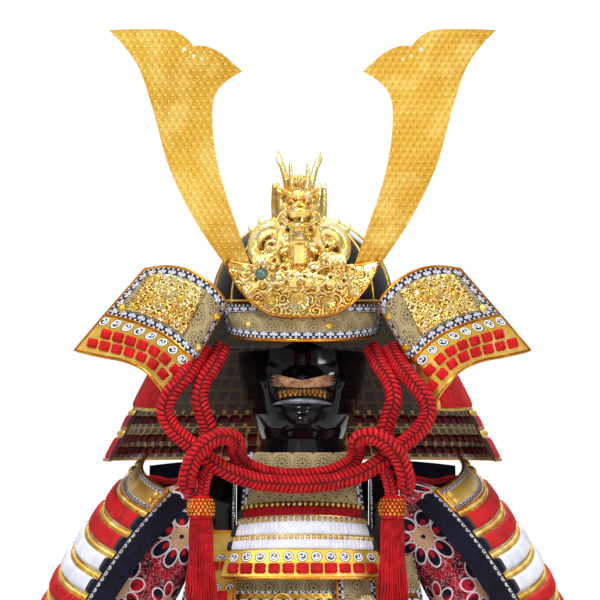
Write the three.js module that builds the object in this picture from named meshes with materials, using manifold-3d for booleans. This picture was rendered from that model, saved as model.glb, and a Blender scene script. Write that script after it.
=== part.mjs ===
// Samurai armour of laced plates, in millimetres, in the hollow form that it has when it is worn: a ribbed helmet with
// gold horns and a dragon crest, a face mask with a throat bib, a cuirass with four skirts, shoulder guards, brocade
// sleeves and red silk cords. +Z is up, the wearer faces -Y and +X is the wearer's left. The origin lies midway
// between the shoulders, at the height where the shoulder straps rest.
import * as THREE from "three";
import { mergeVertices } from "three/addons/utils/BufferGeometryUtils.js";
import Module from "manifold-3d";

const wasm = await Module();
wasm.setup();

// Driving sizes
const seam = 0.3; // gap between pieces that touch
const lameSeam = 0.35; // gap between two laced plates, a little more where they meet at an angle
const plate = 2.5; // lacquered plate
const bulge = 3.5; // how far the lacing swells over its plate
const cordDiameter = 21; // braided chin cord
const cordCentre = -7; // the tied cords hang a little to the wearer's right

const bowl = { halfWidth: 108, halfDepth: 122, rim: 212, height: 106, ribs: 14, rib: 2, topLift: 82.5 };
const visor = { spread: 62, rootOut: 107.5, rootFront: 121.5, root: 211.65, edgeOut: 104, edgeFront: 160, edge: 169 };
const bracket = { halfWidth: 90, bottom: 196.5, corner: 257, cornerHeight: 6, front: 138.1, roundness: 220 };
const horn = { thick: 2, lean: 0.16, sweep: 0.285, front: 137, foot: 258, hole: 3.6 };
const chest = { centreY: 5, breastSpread: 62, backSpread: 58, sideGap: 30 };
const skirt = { top: -382.35, bottom: -640, lames: 4, halfWidth: 222, halfDepth: 186, spread: 37 };
const guard = { frontY: -95, depth: 235, backOut: 26, backRise: 42, belly: 72, plateRise: 24, plateIn: 23 };

// Finishes
const finish = (color, roughness, metalness) => new THREE.MeshStandardMaterial({ color, roughness, metalness });
const gold = finish(0xd9a93a, 0.3, 0.9);
const blackLacquer = finish(0x0b0b0d, 0.12, 0.1);
const stencilledLeather = finish(0xb39b6a, 0.7, 0);
const redSilk = finish(0xb3151f, 0.75, 0);
const whiteSilk = finish(0xeeedf2, 0.8, 0);
const brocade = finish(0x8f1d2a, 0.8, 0);
const greenGlass = finish(0x3f7f6a, 0.2, 0);
const bristle = finish(0xc9a679, 0.9, 0);

const at = (x, y, z) => new THREE.Vector3(x, y, z);
const lerp = THREE.MathUtils.lerp;
const radians = THREE.MathUtils.degToRad;
const stops = (count) => Array.from({ length: count + 1 }, (_, i) => i / count);

const armour = new THREE.Group();

function add(name, geometry, material) {
  const mesh = new THREE.Mesh(geometry, material);
  mesh.name = name;
  armour.add(mesh);
}

// A closed wall on the sheet point(u, v). Its outer side lies `outer` plus rise(u, v) along the sheet's outward
// normal and has a row at each of vs; its plain inner side lies `inner` along it and has a row at each of backVs.
// us are the columns, and side is 1 or -1 for which way is outward.
function wall({ point, us, vs, backVs = [0, 1], inner = -plate, outer = 0, rise = () => 0, side = 1, ring = false }) {
  const near = 1e-3;
  const [low, high] = ring ? [-near, 1 + near] : [0, 1];
  const normal = (u, v) => {
    const along = point(Math.min(u + near, high), v).sub(point(Math.max(u - near, low), v));
    const down = point(u, Math.min(v + near, 1)).sub(point(u, Math.max(v - near, 0)));
    return along.cross(down).normalize().multiplyScalar(side);
  };
  const layer = (rows, offset) => us.flatMap((u) => rows.map((v) => point(u, v).addScaledVector(normal(u, v), offset(u, v))));
  const front = layer(vs, (u, v) => outer + rise(u, v));
  const back = layer(backVs, () => inner);
  const [lastRow, lastBack] = [vs.length - 1, backVs.length - 1];
  const frontAt = (i, j) => (i % us.length) * vs.length + j;
  const backAt = (i, j) => front.length + (i % us.length) * backVs.length + j;
  const index = [];
  const face = (a, b, c, turned = side < 0) => index.push(...(turned ? [a, c, b] : [a, b, c]));
  const quad = (a, b, c, d) => {
    face(a, b, c);
    face(a, c, d);
  };
  for (let i = 0; i < (ring ? us.length : us.length - 1); i++) {
    for (let j = 0; j < lastRow; j++) {
      quad(frontAt(i, j), frontAt(i + 1, j), frontAt(i + 1, j + 1), frontAt(i, j + 1));
    }
    for (let j = 0; j < lastBack; j++) {
      quad(backAt(i, j), backAt(i, j + 1), backAt(i + 1, j + 1), backAt(i + 1, j));
    }
    quad(frontAt(i + 1, 0), frontAt(i, 0), backAt(i, 0), backAt(i + 1, 0));
    quad(frontAt(i, lastRow), frontAt(i + 1, lastRow), backAt(i + 1, lastBack), backAt(i, lastBack));
  }
  const closeEnd = (i, turned) => {
    let [f, b] = [0, 0];
    while (f < lastRow || b < lastBack) {
      if (b === lastBack || (f < lastRow && vs[f + 1] <= backVs[b + 1])) {
        face(frontAt(i, f), frontAt(i, f + 1), backAt(i, b), turned);
        f += 1;
      } else {
        face(frontAt(i, f), backAt(i, b + 1), backAt(i, b), turned);
        b += 1;
      }
    }
  };
  if (!ring) {
    closeEnd(0, side < 0);
    closeEnd(us.length - 1, side > 0);
  }
  const corners = [...front, ...back].flatMap((p) => p.toArray());
  const geometry = new THREE.BufferGeometry();
  geometry.setAttribute("position", new THREE.Float32BufferAttribute(corners, 3));
  return geometry.setIndex(index);
}

const smooth = (points) => new THREE.CatmullRomCurve3(points, false, "centripetal");

function polygon(radius, sides) {
  const shape = new THREE.Shape();
  for (let i = 0; i < sides; i++) {
    const turn = (2 * Math.PI * i) / sides;
    const corner = [radius * Math.cos(turn), radius * Math.sin(turn)];
    if (i) shape.lineTo(...corner);
    else shape.moveTo(...corner);
  }
  return shape;
}

function tube(points, radius, sides, steps) {
  const options = { steps, bevelEnabled: false, extrudePath: smooth(points) };
  return new THREE.ExtrudeGeometry(polygon(radius, sides), options);
}

function solidOf(geometry) {
  const bare = geometry.clone();
  bare.deleteAttribute("normal");
  bare.deleteAttribute("uv");
  const merged = mergeVertices(bare, 1e-3);
  const vertProperties = merged.attributes.position.array;
  return new wasm.Manifold(new wasm.Mesh({ numProp: 3, vertProperties, triVerts: new Uint32Array(merged.index.array) }));
}

function geometryOf(solid) {
  const mesh = solid.getMesh();
  const corners = [];
  for (let i = 0; i < mesh.numVert; i++) {
    corners.push(...mesh.vertProperties.subarray(i * mesh.numProp, i * mesh.numProp + 3));
  }
  const geometry = new THREE.BufferGeometry();
  geometry.setAttribute("position", new THREE.Float32BufferAttribute(corners, 3));
  return geometry.setIndex([...mesh.triVerts]);
}

// One solid from several, cut back from the grown shapes of the pieces that it is seated against
function joined(geometries, tolerance, seats = []) {
  let whole = geometries.map(solidOf).reduce((sum, part) => sum.add(part));
  whole = whole.simplify(tolerance);
  for (const seat of seats) whole = whole.subtract(solidOf(seat));
  const pieces = whole.decompose();
  return geometryOf(pieces.reduce((best, piece) => (piece.volume() > best.volume() ? piece : best)));
}

// Lacing swells over the lower part of each plate and leaves its gilt top band bare.
const laceProfile = [
  { stop: 0, share: 0 },
  { stop: 0.27, share: 0 },
  { stop: 0.35, share: 1 },
  { stop: 0.94, share: 0.8 },
];

function lacing(plates = 1, swell = 1) {
  const vs = [];
  for (let i = 0; i < plates; i++) vs.push(...laceProfile.map(({ stop }) => (i + stop) / plates));
  const rise = (_, v) => {
    const stop = (v * plates + 1e-6) % 1;
    const nearest = laceProfile.reduce((best, row) => (Math.abs(row.stop - stop) < Math.abs(best.stop - stop) ? row : best));
    return v < 1 ? bulge * swell * nearest.share : 0;
  };
  return { vs: [...vs, 1], rise };
}

// Helmet bowl, with a raised rib on each joint between its plates and a hole at the crown
function bowlPoint(u, v) {
  const turn = 2 * Math.PI * u;
  const lift = radians(v * bowl.topLift);
  const x = bowl.halfWidth * Math.cos(lift) * Math.sin(turn);
  const y = -bowl.halfDepth * Math.cos(lift) * Math.cos(turn);
  return at(x, y, bowl.rim + bowl.height * Math.sin(lift));
}

function makeBowl() {
  const us = stops(2 * bowl.ribs).slice(0, -1);
  const rise = (u, v) => bowl.rib * Math.abs(Math.sin(Math.PI * bowl.ribs * u)) * (1 - v / 2);
  add("helmet_bowl", wall({ point: bowlPoint, us, vs: stops(5), backVs: stops(3), rise, ring: true }), blackLacquer);
  const profile = [[0, 0], [20, 0], [22, 3], [15, 6], [12, 8], [13, 12], [8, 16], [0, 17]];
  const crown = new THREE.LatheGeometry(profile.map(([r, z]) => new THREE.Vector2(r, z)), 12);
  crown.rotateX(Math.PI / 2);
  crown.translate(0, 0, bowl.rim + bowl.height * Math.sin(radians(bowl.topLift)) + bowl.rib / 2 + seam);
  add("crown_ornament", crown, gold);
}

// Visor: a downturned brim from the bowl's front edge
function visorPoint(u, v) {
  const turn = radians(lerp(-visor.spread, visor.spread, u));
  const out = lerp(visor.rootOut, visor.edgeOut, v);
  const front = lerp(visor.rootFront, visor.edgeFront, v);
  const endLift = 8 * v * Math.abs(2 * u - 1) ** 3;
  return at(out * Math.sin(turn), -front * Math.cos(turn), lerp(visor.root, visor.edge, v) + endLift);
}

// Horn bracket: a half-moon plate that stands on the visor, in repousse
function bracketPoint(u, v) {
  const x = lerp(-bracket.halfWidth, bracket.halfWidth, u);
  const share = Math.abs(2 * u - 1);
  const low = bracket.corner - (bracket.corner - bracket.bottom) * (1 - share ** 3.2);
  const high = bracket.corner + bracket.cornerHeight - 12 * (1 - share ** 2);
  const z = lerp(high, low, v);
  const front = bracket.front - 0.15 * (z - bracket.bottom);
  return at(x, -front * Math.sqrt(1 - (x / bracket.roundness) ** 2), z);
}

const bracketGrid = { us: stops(18), vs: stops(1), side: -1 };

function makeVisorAndBracket() {
  add("visor", wall({ point: visorPoint, us: stops(14), vs: stops(1), side: -1 }), stencilledLeather);
  add("horn_bracket", wall({ point: bracketPoint, ...bracketGrid }), gold);
}

// Horns: outlines on one side, as distance out from the middle and height
const hornOuter = [[84, 246], [126, 307], [159, 374], [179, 445], [195, 492], [214, 520], [231, 538]];
const hornTop = [[199, 539], [159, 538], [142, 531], [129, 518]];
const hornInner = [[118, 519], [100, 512], [85, 500], [72, 488]];
const hornInside = [[90, 477], [103, 462], [107.5, 440], [105, 400], [93, 347], [59, 250]];
const hornHoles = [{ out: 141, z: 515, size: 1 }, { out: 129.5, z: 507, size: 0.75 }, { out: 119.5, z: 503, size: 0.6 }];

function makeHorn(name, side) {
  const outline = new THREE.Shape();
  const flat = ([out, z]) => new THREE.Vector2(side * out, z);
  outline.moveTo(side * hornOuter[0][0], hornOuter[0][1]);
  outline.splineThru(hornOuter.slice(1).map(flat));
  outline.splineThru(hornTop.map(flat));
  outline.splineThru(hornInner.map(flat));
  outline.splineThru(hornInside.map(flat));
  for (const { out, z, size } of hornHoles) {
    outline.holes.push(new THREE.Path().absarc(side * out, z, horn.hole * size, 0, 2 * Math.PI));
  }
  const geometry = new THREE.ExtrudeGeometry(outline, { depth: horn.thick, bevelEnabled: false, curveSegments: 3 });
  const places = geometry.attributes.position;
  for (let i = 0; i < places.count; i++) {
    const [x, z, depth] = [places.getX(i), places.getY(i), places.getZ(i)];
    const y = -horn.front - horn.lean * (z - horn.foot) + horn.sweep * Math.abs(x) - depth;
    places.setXYZ(i, x, y, z);
  }
  add(name, geometry, gold);
}

// Dragon crest, cast in one piece, that stands in front of the bracket
const crestX = -4;
const crestBalls = [
  { name: "foot", out: 0, y: -141, z: 248, rx: 40, ry: 13.5, rz: 22 },
  { name: "breast", out: 0, y: -163, z: 262, rx: 17, ry: 14, rz: 24 },
  { name: "throat", out: 0, y: -172, z: 290, rx: 14, ry: 13, rz: 22 },
  { name: "skull", out: 0, y: -176, z: 322, rx: 16, ry: 17, rz: 15 },
  { name: "muzzle", out: 0, y: -193, z: 322, rx: 11, ry: 14, rz: 7 },
  { name: "jaw", out: 0, y: -190, z: 308, rx: 9, ry: 14, rz: 4.5 },
  { name: "topknot", out: 0, y: -168, z: 344, rx: 11, ry: 9, rz: 20 },
  { name: "brow", out: 8, y: -188, z: 332, rx: 6, ry: 7, rz: 4, pair: true },
  { name: "mane", out: 22, y: -168, z: 326, rx: 12, ry: 9, rz: 22, pair: true },
];
const crestSpikes = [
  { name: "antler", out: 9, y: -170, z: 336, tipOut: 28, tipY: -160, tipZ: 395, radius: 4.2 },
  { name: "prong", out: 6, y: -174, z: 338, tipOut: 13, tipY: -170, tipZ: 379, radius: 3.2 },
  { name: "fin", out: 25, y: -166, z: 296, tipOut: 34, tipY: -162, tipZ: 357, radius: 7 },
];
const crestCoil = [
  [-60, -146, 262], [-64, -156, 282], [-48, -164, 297], [-30, -164, 284], [-26, -166, 262], [-8, -170, 246],
  [16, -170, 250], [30, -166, 268], [44, -163, 292], [60, -158, 290], [66, -150, 268], [50, -152, 250],
];
const crestArm = [[20, -166, 288], [38, -176, 290], [50, -184, 276], [46, -190, 254]];
const jewel = { out: 45, y: -194, z: 247.5, radius: 8 };

function ball({ y, z, rx, ry, rz }, x) {
  return new THREE.SphereGeometry(1, 8, 5).scale(rx, ry, rz).translate(x, y, z);
}

function spike({ out, y, z, tipOut, tipY, tipZ, radius }, side) {
  const foot = at(crestX + side * out, y, z);
  const tip = at(crestX + side * tipOut, tipY, tipZ);
  const length = foot.distanceTo(tip);
  const cone = new THREE.CylinderGeometry(0.5, radius, length, 5).translate(0, length / 2, 0);
  cone.applyQuaternion(new THREE.Quaternion().setFromUnitVectors(at(0, 1, 0), tip.sub(foot).normalize()));
  return cone.translate(foot.x, foot.y, foot.z);
}

function makeDragon() {
  const parts = [];
  for (const row of crestBalls) {
    for (const side of row.pair ? [-1, 1] : [1]) parts.push(ball(row, crestX + side * row.out));
  }
  for (const row of crestSpikes) {
    for (const side of [-1, 1]) parts.push(spike(row, side));
  }
  parts.push(tube(crestCoil.map(([x, y, z]) => at(crestX + x, y, z)), 8.5, 6, 22));
  for (const side of [-1, 1]) {
    parts.push(tube(crestArm.map(([out, y, z]) => at(crestX + side * out, y, z)), 6, 5, 5));
  }
  const stone = (radius) => new THREE.SphereGeometry(radius, 8, 6).translate(crestX - jewel.out, jewel.y, jewel.z);
  const bed = wall({ point: bracketPoint, ...bracketGrid, inner: -30, outer: seam });
  add("dragon_crest", joined(parts, 1, [stone(jewel.radius + 1.2 * seam), bed]), gold);
  add("crest_jewel", stone(jewel.radius), greenGlass);
}

// Neck guard: each plate wraps round the back, and the upper two turn outward at the front as wings. A row is one
// place along half a plate, from the wing's tip to the middle of the back, with its upper and its lower edge.
const upperNeckPlate = [
  { topOut: 187, topY: -80, topZ: 252.5, lowOut: 234.5, lowY: -62, lowZ: 198.5 },
  { topOut: 160, topY: -96, topZ: 255.5, lowOut: 196, lowY: -88, lowZ: 188.5 },
  { topOut: 134, topY: -113, topZ: 250.5, lowOut: 166, lowY: -106, lowZ: 175.5 },
  { topOut: 110, topY: -124, topZ: 236, lowOut: 146.5, lowY: -117, lowZ: 161.5 },
  { topOut: 97, topY: -126, topZ: 222, lowOut: 134.5, lowY: -121, lowZ: 149.5 },
  { topOut: 92, topY: -117, topZ: 212.5, lowOut: 129, lowY: -113, lowZ: 146 },
  { topOut: 95, topY: -98, topZ: 211.7, lowOut: 133, lowY: -95, lowZ: 150 },
  { topOut: 101, topY: -66, topZ: 211.7, lowOut: 147, lowY: -58, lowZ: 158 },
  { topOut: 104.8, topY: -28, topZ: 211.7, lowOut: 160, lowY: -14, lowZ: 161 },
  { topOut: 106.6, topY: 15, topZ: 211.7, lowOut: 163, lowY: 32, lowZ: 161 },
  { topOut: 91.8, topY: 63, topZ: 211.7, lowOut: 146, lowY: 94, lowZ: 161 },
  { topOut: 64, topY: 98, topZ: 211.7, lowOut: 104, lowY: 146, lowZ: 161 },
  { topOut: 33, topY: 116, topZ: 211.7, lowOut: 54, lowY: 171, lowZ: 161 },
  { topOut: 0, topY: 121.4, topZ: 211.7, lowOut: 0, lowY: 179, lowZ: 161 },
];
const secondNeckEdge = [
  { out: 271, y: -55, z: 155.5 },
  { out: 240, y: -74, z: 148.5 },
  { out: 212, y: -90, z: 143 },
  { out: 188, y: -103, z: 132 },
  { out: 172, y: -110, z: 115 },
  { out: 161, y: -106, z: 98 },
  { out: 160, y: -90, z: 86 },
  { out: 178, y: -62, z: 83 },
  { out: 199, y: -18, z: 84 },
  { out: 205, y: 34, z: 84 },
  { out: 187, y: 106, z: 84 },
  { out: 134, y: 173, z: 84 },
  { out: 70, y: 207, z: 84 },
  { out: 0, y: 218, z: 84 },
];
const lowerNeckPlates = [
  { name: "neck_lame_3", top: 84, topScale: 1, low: 62, lowScale: 1.058 },
  { name: "neck_lame_4", top: 62, topScale: 1.058, low: 24, lowScale: 1.16 },
];
const lowerNeckStart = 8; // the row of the upper plates at which the lower plates begin
const wingTip = 5; // the row at which a wing folds back into the neck guard

const mirrored = (half) => [...half.map(([x, y, z]) => at(-x, y, z)), ...half.slice(0, -1).reverse().map((p) => at(...p))];

function neckSheet(rows) {
  const top = smooth(mirrored(rows.map((r) => [r.topOut, r.topY, r.topZ])));
  const low = smooth(mirrored(rows.map((r) => [r.lowOut, r.lowY, r.lowZ])));
  return (u, v) => top.getPoint(u).lerp(low.getPoint(u), v);
}

const neckSeam = 1.2; // wider, because the first plate flares more than the second

function secondNeckRows() {
  return upperNeckPlate.map(({ lowOut, lowY, lowZ }, i) => {
    const edge = secondNeckEdge[i];
    const from = at(lowOut, lowY, lowZ);
    const to = at(edge.out, edge.y, edge.z);
    const start = from.clone().addScaledVector(to.clone().sub(from).normalize(), neckSeam);
    return { topOut: start.x, topY: start.y, topZ: start.z, lowOut: edge.out, lowY: edge.y, lowZ: edge.z };
  });
}

const upperNeckSheet = neckSheet(upperNeckPlate);
const secondNeckSheet = neckSheet(secondNeckRows());
const neckSpan = 2 * (upperNeckPlate.length - 1);
const foldShare = wingTip / neckSpan; // share of the way along at which each wing ends

const neckColumns = Array.from({ length: 2 * neckSpan + 1 }, (_, i) => i / (2 * neckSpan)).filter((u, i) => {
  return i % 2 === 0 || Math.min(u, 1 - u) * neckSpan < wingTip + 1;
});

// The lacing covers the plates behind the wings only.
const neckLacing = lacing();

function neckRise(u, v) {
  return Math.min(u, 1 - u) > foldShare + 1.4 / neckSpan ? neckLacing.rise(u, v) : 0;
}

const lowerNeckLine = smooth(mirrored(secondNeckEdge.slice(lowerNeckStart).map(({ out, y }) => [out, y, 0])));

function lowerNeckSheet({ top, topScale, low, lowScale }) {
  return (u, v) => {
    const share = lerp(lameSeam / (top - low), 1, v);
    const place = lowerNeckLine.getPoint(u).multiplyScalar(lerp(topScale, lowScale, share));
    return place.setZ(lerp(top, low, share));
  };
}

function makeNeckGuard() {
  const laced = { us: neckColumns, vs: neckLacing.vs, rise: neckRise };
  add("neck_lame_1", wall({ point: upperNeckSheet, ...laced }), gold);
  add("neck_lame_2", wall({ point: secondNeckSheet, ...laced }), gold);
  for (const row of lowerNeckPlates) {
    add(row.name, wall({ point: lowerNeckSheet(row), us: stops(20), ...lacing(1, 0.6) }), gold);
  }
}

// Gilt plaques on the upper wings, bedded on the leather
const plaque = { from: 0.5, to: 3, top: 0.14, low: 0.84, bed: 0.35, thick: 2 };

function makeWingPlaques() {
  for (const [name, side] of [["wing_plaque_left", 1], ["wing_plaque_right", -1]]) {
    const [from, to] = side > 0 ? [neckSpan - plaque.to, neckSpan - plaque.from] : [plaque.from, plaque.to];
    const point = (u, v) => upperNeckSheet(lerp(from, to, u) / neckSpan, lerp(plaque.top, plaque.low, v));
    const bed = plate + plaque.bed;
    add(name, wall({ point, us: stops(5), vs: stops(1), inner: bed, outer: bed + plaque.thick, side: -1 }), gold);
  }
}

// Face mask: a wall with a nose, cheeks and chin, open behind, over a short neck ring
const mask = { top: 158, chin: 50, ring: 34.4, ringOut: 54, ringFront: 105.4, wrap: 100, wall: 3, hingeY: -10 };
const maskBands = [
  { z: 170, out: 78, front: 96 },
  { z: 140, out: 77, front: 99 },
  { z: 110, out: 72, front: 106 },
  { z: 80, out: 63, front: 108 },
  { z: 62, out: 55, front: 107 },
  { z: 50, out: 49, front: 100 },
];
const maskForms = [
  { name: "bridge", out: 0, z: 150, wide: 8, tall: 18, push: 12 },
  { name: "nose", out: 0, z: 124, wide: 11, tall: 10, push: 20 },
  { name: "nostril", out: 15, z: 121, wide: 7, tall: 6, push: 8, pair: true },
  { name: "cheek", out: 46, z: 128, wide: 15, tall: 17, push: 9, pair: true },
  { name: "lower lip", out: 0, z: 88, wide: 24, tall: 4, push: 4 },
  { name: "chin", out: 0, z: 72, wide: 22, tall: 11, push: 11 },
];

function across(table, z) {
  const i = Math.max(1, table.findIndex((row) => row.z <= z));
  const [above, below] = [table[i - 1], table[i]];
  const share = (above.z - z) / (above.z - below.z);
  return { out: lerp(above.out, below.out, share), front: lerp(above.front, below.front, share) };
}

function maskPush(x, z) {
  let push = 0;
  for (const form of maskForms) {
    for (const side of form.pair ? [-1, 1] : [1]) {
      push += form.push * Math.exp(-(((x - side * form.out) / form.wide) ** 2) - ((z - form.z) / form.tall) ** 2);
    }
  }
  return push;
}

function maskPoint(u, v) {
  const turn = radians(lerp(-mask.wrap, mask.wrap, u));
  const span = Math.abs(2 * u - 1);
  const top = mask.top + 10 * Math.exp(-((span / 0.16) ** 2)) - 6 * span;
  const chinShare = 0.88;
  if (v > chinShare) {
    const share = (v - chinShare) / (1 - chinShare);
    const end = across(maskBands, mask.chin);
    const out = lerp(end.out, mask.ringOut, share);
    const front = lerp(end.front, mask.ringFront, share) + mask.hingeY;
    return at(out * Math.sin(turn), mask.hingeY - front * Math.cos(turn), lerp(mask.chin, mask.ring, share));
  }
  const z = lerp(top, mask.chin, v / chinShare);
  const { out, front } = across(maskBands, z);
  const x = out * Math.sin(turn);
  const push = Math.cos(turn) > 0 ? maskPush(x, z) * Math.cos(turn) ** 0.5 : 0;
  return at(x, mask.hingeY - (front + mask.hingeY) * Math.cos(turn) - push, z);
}

function maskFront(x, z) {
  const { out, front } = across(maskBands, z);
  const cosine = Math.sqrt(Math.max(0, 1 - (x / out) ** 2));
  return mask.hingeY - (front + mask.hingeY) * cosine - maskPush(x, z) * cosine ** 0.5;
}

function makeMask() {
  const grid = { us: stops(18), vs: stops(12), backVs: stops(12) };
  const face = solidOf(wall({ point: maskPoint, ...grid, inner: -mask.wall, side: -1 }));
  const mouth = new THREE.Shape();
  mouth.moveTo(-33, 97);
  mouth.splineThru([[-16, 101], [0, 102], [16, 101], [33, 97]].map(([x, z]) => new THREE.Vector2(x, z)));
  mouth.splineThru([[36, 104], [20, 109.5], [0, 110], [-20, 109.5], [-36, 104]].map((p) => new THREE.Vector2(...p)));
  const slot = new THREE.ExtrudeGeometry(mouth, { depth: 90, bevelEnabled: false, curveSegments: 2 });
  slot.rotateX(Math.PI / 2);
  slot.translate(0, -60, 0);
  add("face_mask", geometryOf(face.subtract(solidOf(slot))), blackLacquer);
  const lip = (u, v) => {
    const x = lerp(-37, 38, u);
    const z = 119.5 - 8.5 * v + 5 * Math.abs(2 * u - 1) ** 1.5;
    return at(x, Math.min(maskFront(x, z), maskFront(x, z - 4), maskFront(0, 112)) - 2.4, z);
  };
  const grid2 = { us: stops(10), vs: stops(2), backVs: stops(2) };
  add("whiskers", wall({ point: lip, ...grid2, inner: 0, outer: 3, side: -1 }), bristle);
}

// Throat bib: a leather-faced plate under the chin and four laced plates. A row is an edge between two pieces.
const bibSpread = 65;
const bibEdges = [
  { z: 34, out: 65, front: 106, sag: 24, droop: 0 },
  { z: -24, out: 73, front: 115, sag: 24, droop: 6 },
  { z: -41, out: 77, front: 119, sag: 24, droop: 6 },
  { z: -64, out: 85, front: 126, sag: 24, droop: 4 },
  { z: -81, out: 89.5, front: 131, sag: 24, droop: 3 },
  { z: -115, out: 98, front: 142, sag: 24, droop: 0 },
];
const bibPieces = [
  { name: "bib_plate", material: stencilledLeather },
  { name: "bib_lame_1", material: redSilk, swell: 0.5 },
  { name: "bib_lame_2", material: whiteSilk, swell: 0.8 },
  { name: "bib_lame_3", material: whiteSilk, swell: 0.8 },
  { name: "bib_lame_4", material: gold },
];

function bibSheet(i) {
  const [upper, lower] = [bibEdges[i], bibEdges[i + 1]];
  return (u, v) => {
    const start = i ? lameSeam / (upper.z - lower.z) : 0;
    const share = lerp(start, 1, v);
    const turn = radians(lerp(-bibSpread, bibSpread, u));
    const out = lerp(upper.out, lower.out, share) / Math.sin(radians(bibSpread));
    const sag = lerp(upper.sag, lower.sag, share) / (1 - Math.cos(radians(bibSpread)));
    const droop = lerp(upper.droop, lower.droop, share) * (2 * u - 1) ** 2;
    const front = lerp(upper.front, lower.front, share) - sag * (1 - Math.cos(turn));
    return at(out * Math.sin(turn), -front, lerp(upper.z, lower.z, share) - droop);
  };
}

function makeBib() {
  bibPieces.forEach(({ name, material, swell = 0 }, i) => {
    const surface = swell ? lacing(1, swell) : { vs: stops(1) };
    add(name, wall({ point: bibSheet(i), us: stops(10), ...surface, side: -1 }), material);
  });
}

// Cuirass: its section is an oval whose half width and half depth change with height
const chestBands = [
  { z: -50, out: 132, front: 102 },
  { z: -88, out: 150, front: 112 },
  { z: -150, out: 165, front: 121 },
  { z: -222, out: 166, front: 122 },
  { z: -300, out: 158, front: 116 },
  { z: -382, out: 152, front: 112 },
  { z: -400, out: 153, front: 113 },
];

function chestPoint(degrees, z, clear = 0) {
  const { out, front } = across(chestBands, z);
  const turn = radians(degrees);
  return at((out + clear) * Math.sin(turn), chest.centreY - (front + clear) * Math.cos(turn), z);
}

// A panel of the cuirass between two turns about the middle, in degrees from the front, and two heights. It stands
// clear of the cuirass by clearTop at its top and clearLow at its foot.
function chestPanel({ from, to, top, low, columns, surface, clearTop = 0, clearLow = 0 }) {
  const point = (u, v) => chestPoint(lerp(from, to, u), lerp(top, low, v), lerp(clearTop, clearLow, v));
  return wall({ point, us: stops(columns), vs: stops(1), ...surface, side: -1 });
}

const chestPanels = [
  { name: "breast_plate", middle: 0, spread: chest.breastSpread, top: -88, low: -149.55, columns: 10, bare: true },
  { name: "breast_lames", middle: 0, spread: chest.breastSpread, top: -150, low: -222, columns: 10, rows: 2 },
  { name: "back_plate", middle: 180, spread: chest.backSpread, top: -62, low: -149.55, columns: 10, bare: true },
  { name: "back_lames", middle: 180, spread: chest.backSpread, top: -150, low: -222, columns: 10, rows: 2 },
  { name: "body_lame_1", top: -222, low: -262 },
  { name: "body_lame_2", top: -262, low: -302 },
  { name: "body_lame_3", top: -302, low: -342 },
  { name: "body_lame_4", top: -342, low: -382 },
];

function makeCuirass() {
  for (const { name, middle, spread, top, low, columns = 20, rows = 1, bare } of chestPanels) {
    const whole = middle === undefined;
    const from = whole ? -90 + chest.sideGap : middle - spread;
    const to = whole ? 270 - chest.sideGap : middle + spread;
    const surface = bare ? {} : lacing(rows);
    add(name, chestPanel({ from, to, top: top - lameSeam, low, columns, surface }), bare ? gold : redSilk);
  }
  const half = chest.sideGap - 0.15;
  const side = { from: 270 - half, to: 270 + half, top: -222 - lameSeam, low: -382, columns: 4 };
  add("side_plate", chestPanel(side), stencilledLeather);
}

// Two guards hang in front of the armholes: small laced plates on the wearer's right, one leathered plate on the left.
const chestGuards = [
  { name: "laced_chest_guard", from: -45, to: -28, top: -60, low: -186, clear: 15.35, clearLow: 8.8, material: gold },
  { name: "leathered_chest_guard", from: 14, to: 31, top: -60, low: -190, clear: 15, clearLow: 8.6, material: stencilledLeather },
];

function makeChestGuards() {
  for (const { name, from, to, top, low, clear, clearLow, material } of chestGuards) {
    const sizes = { from, to, top, low, columns: 4, clearTop: clear, clearLow };
    add(name, chestPanel(sizes), material);
  }
}

// Shoulder straps, from the breast plate over the shoulder to the back plate. They bend with the plates' curve.
const strap = { out: 98, halfWidth: 18, thick: 4, curve: 150 };
const strapLine = [[-79.5, -88], [-74, -60], [-54, -22], [-22, -1], [14, 2], [50, -8], [73, -34], [78.4, -61.9]];

function strapWall(side, grown = 0) {
  const line = smooth(strapLine.map(([y, z]) => at(0, y, z)));
  const bend = (x) => Math.sqrt(1 - (x / strap.curve) ** 2);
  const point = (u, v) => {
    const x = strap.out + lerp(-1, 1, v) * (strap.halfWidth + grown);
    const { y, z } = line.getPoint(u);
    return at(side * x, (y * bend(x)) / bend(strap.out), z);
  };
  const grid = { us: stops(12), vs: stops(2), backVs: stops(2) };
  return wall({ point, ...grid, inner: -grown, outer: strap.thick + grown, side: -side });
}

// Shoulder guards: a leathered top plate and six laced plates that slope outward, the back higher than the front.
// A row is the front end of an edge between two plates.
const guardEdges = [
  { out: 183, z: -36 },
  { out: 204, z: -61 },
  { out: 223, z: -86 },
  { out: 240, z: -111 },
  { out: 256, z: -136 },
  { out: 270, z: -161 },
  { out: 288, z: -205 },
];
const guardSilks = [redSilk, redSilk, whiteSilk, whiteSilk, redSilk, redSilk];

function guardPoint(side, out, z, u) {
  const spread = out + guard.backOut * u + guard.belly * u * (1 - u);
  return at(side * spread, guard.frontY + guard.depth * u, z + guard.backRise * u);
}

function guardSheet(side, upper, lower) {
  return (u, v) => {
    const share = lerp(lameSeam / (upper.z - lower.z), 1, v);
    return guardPoint(side, lerp(upper.out, lower.out, share), lerp(upper.z, lower.z, share), u);
  };
}

const guardGrid = { us: stops(8), vs: stops(1) };

function guardTopSheet(side) {
  const first = guardEdges[0];
  const top = { out: first.out - guard.plateIn, z: first.z + guard.plateRise };
  return guardSheet(side, top, first);
}

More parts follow.
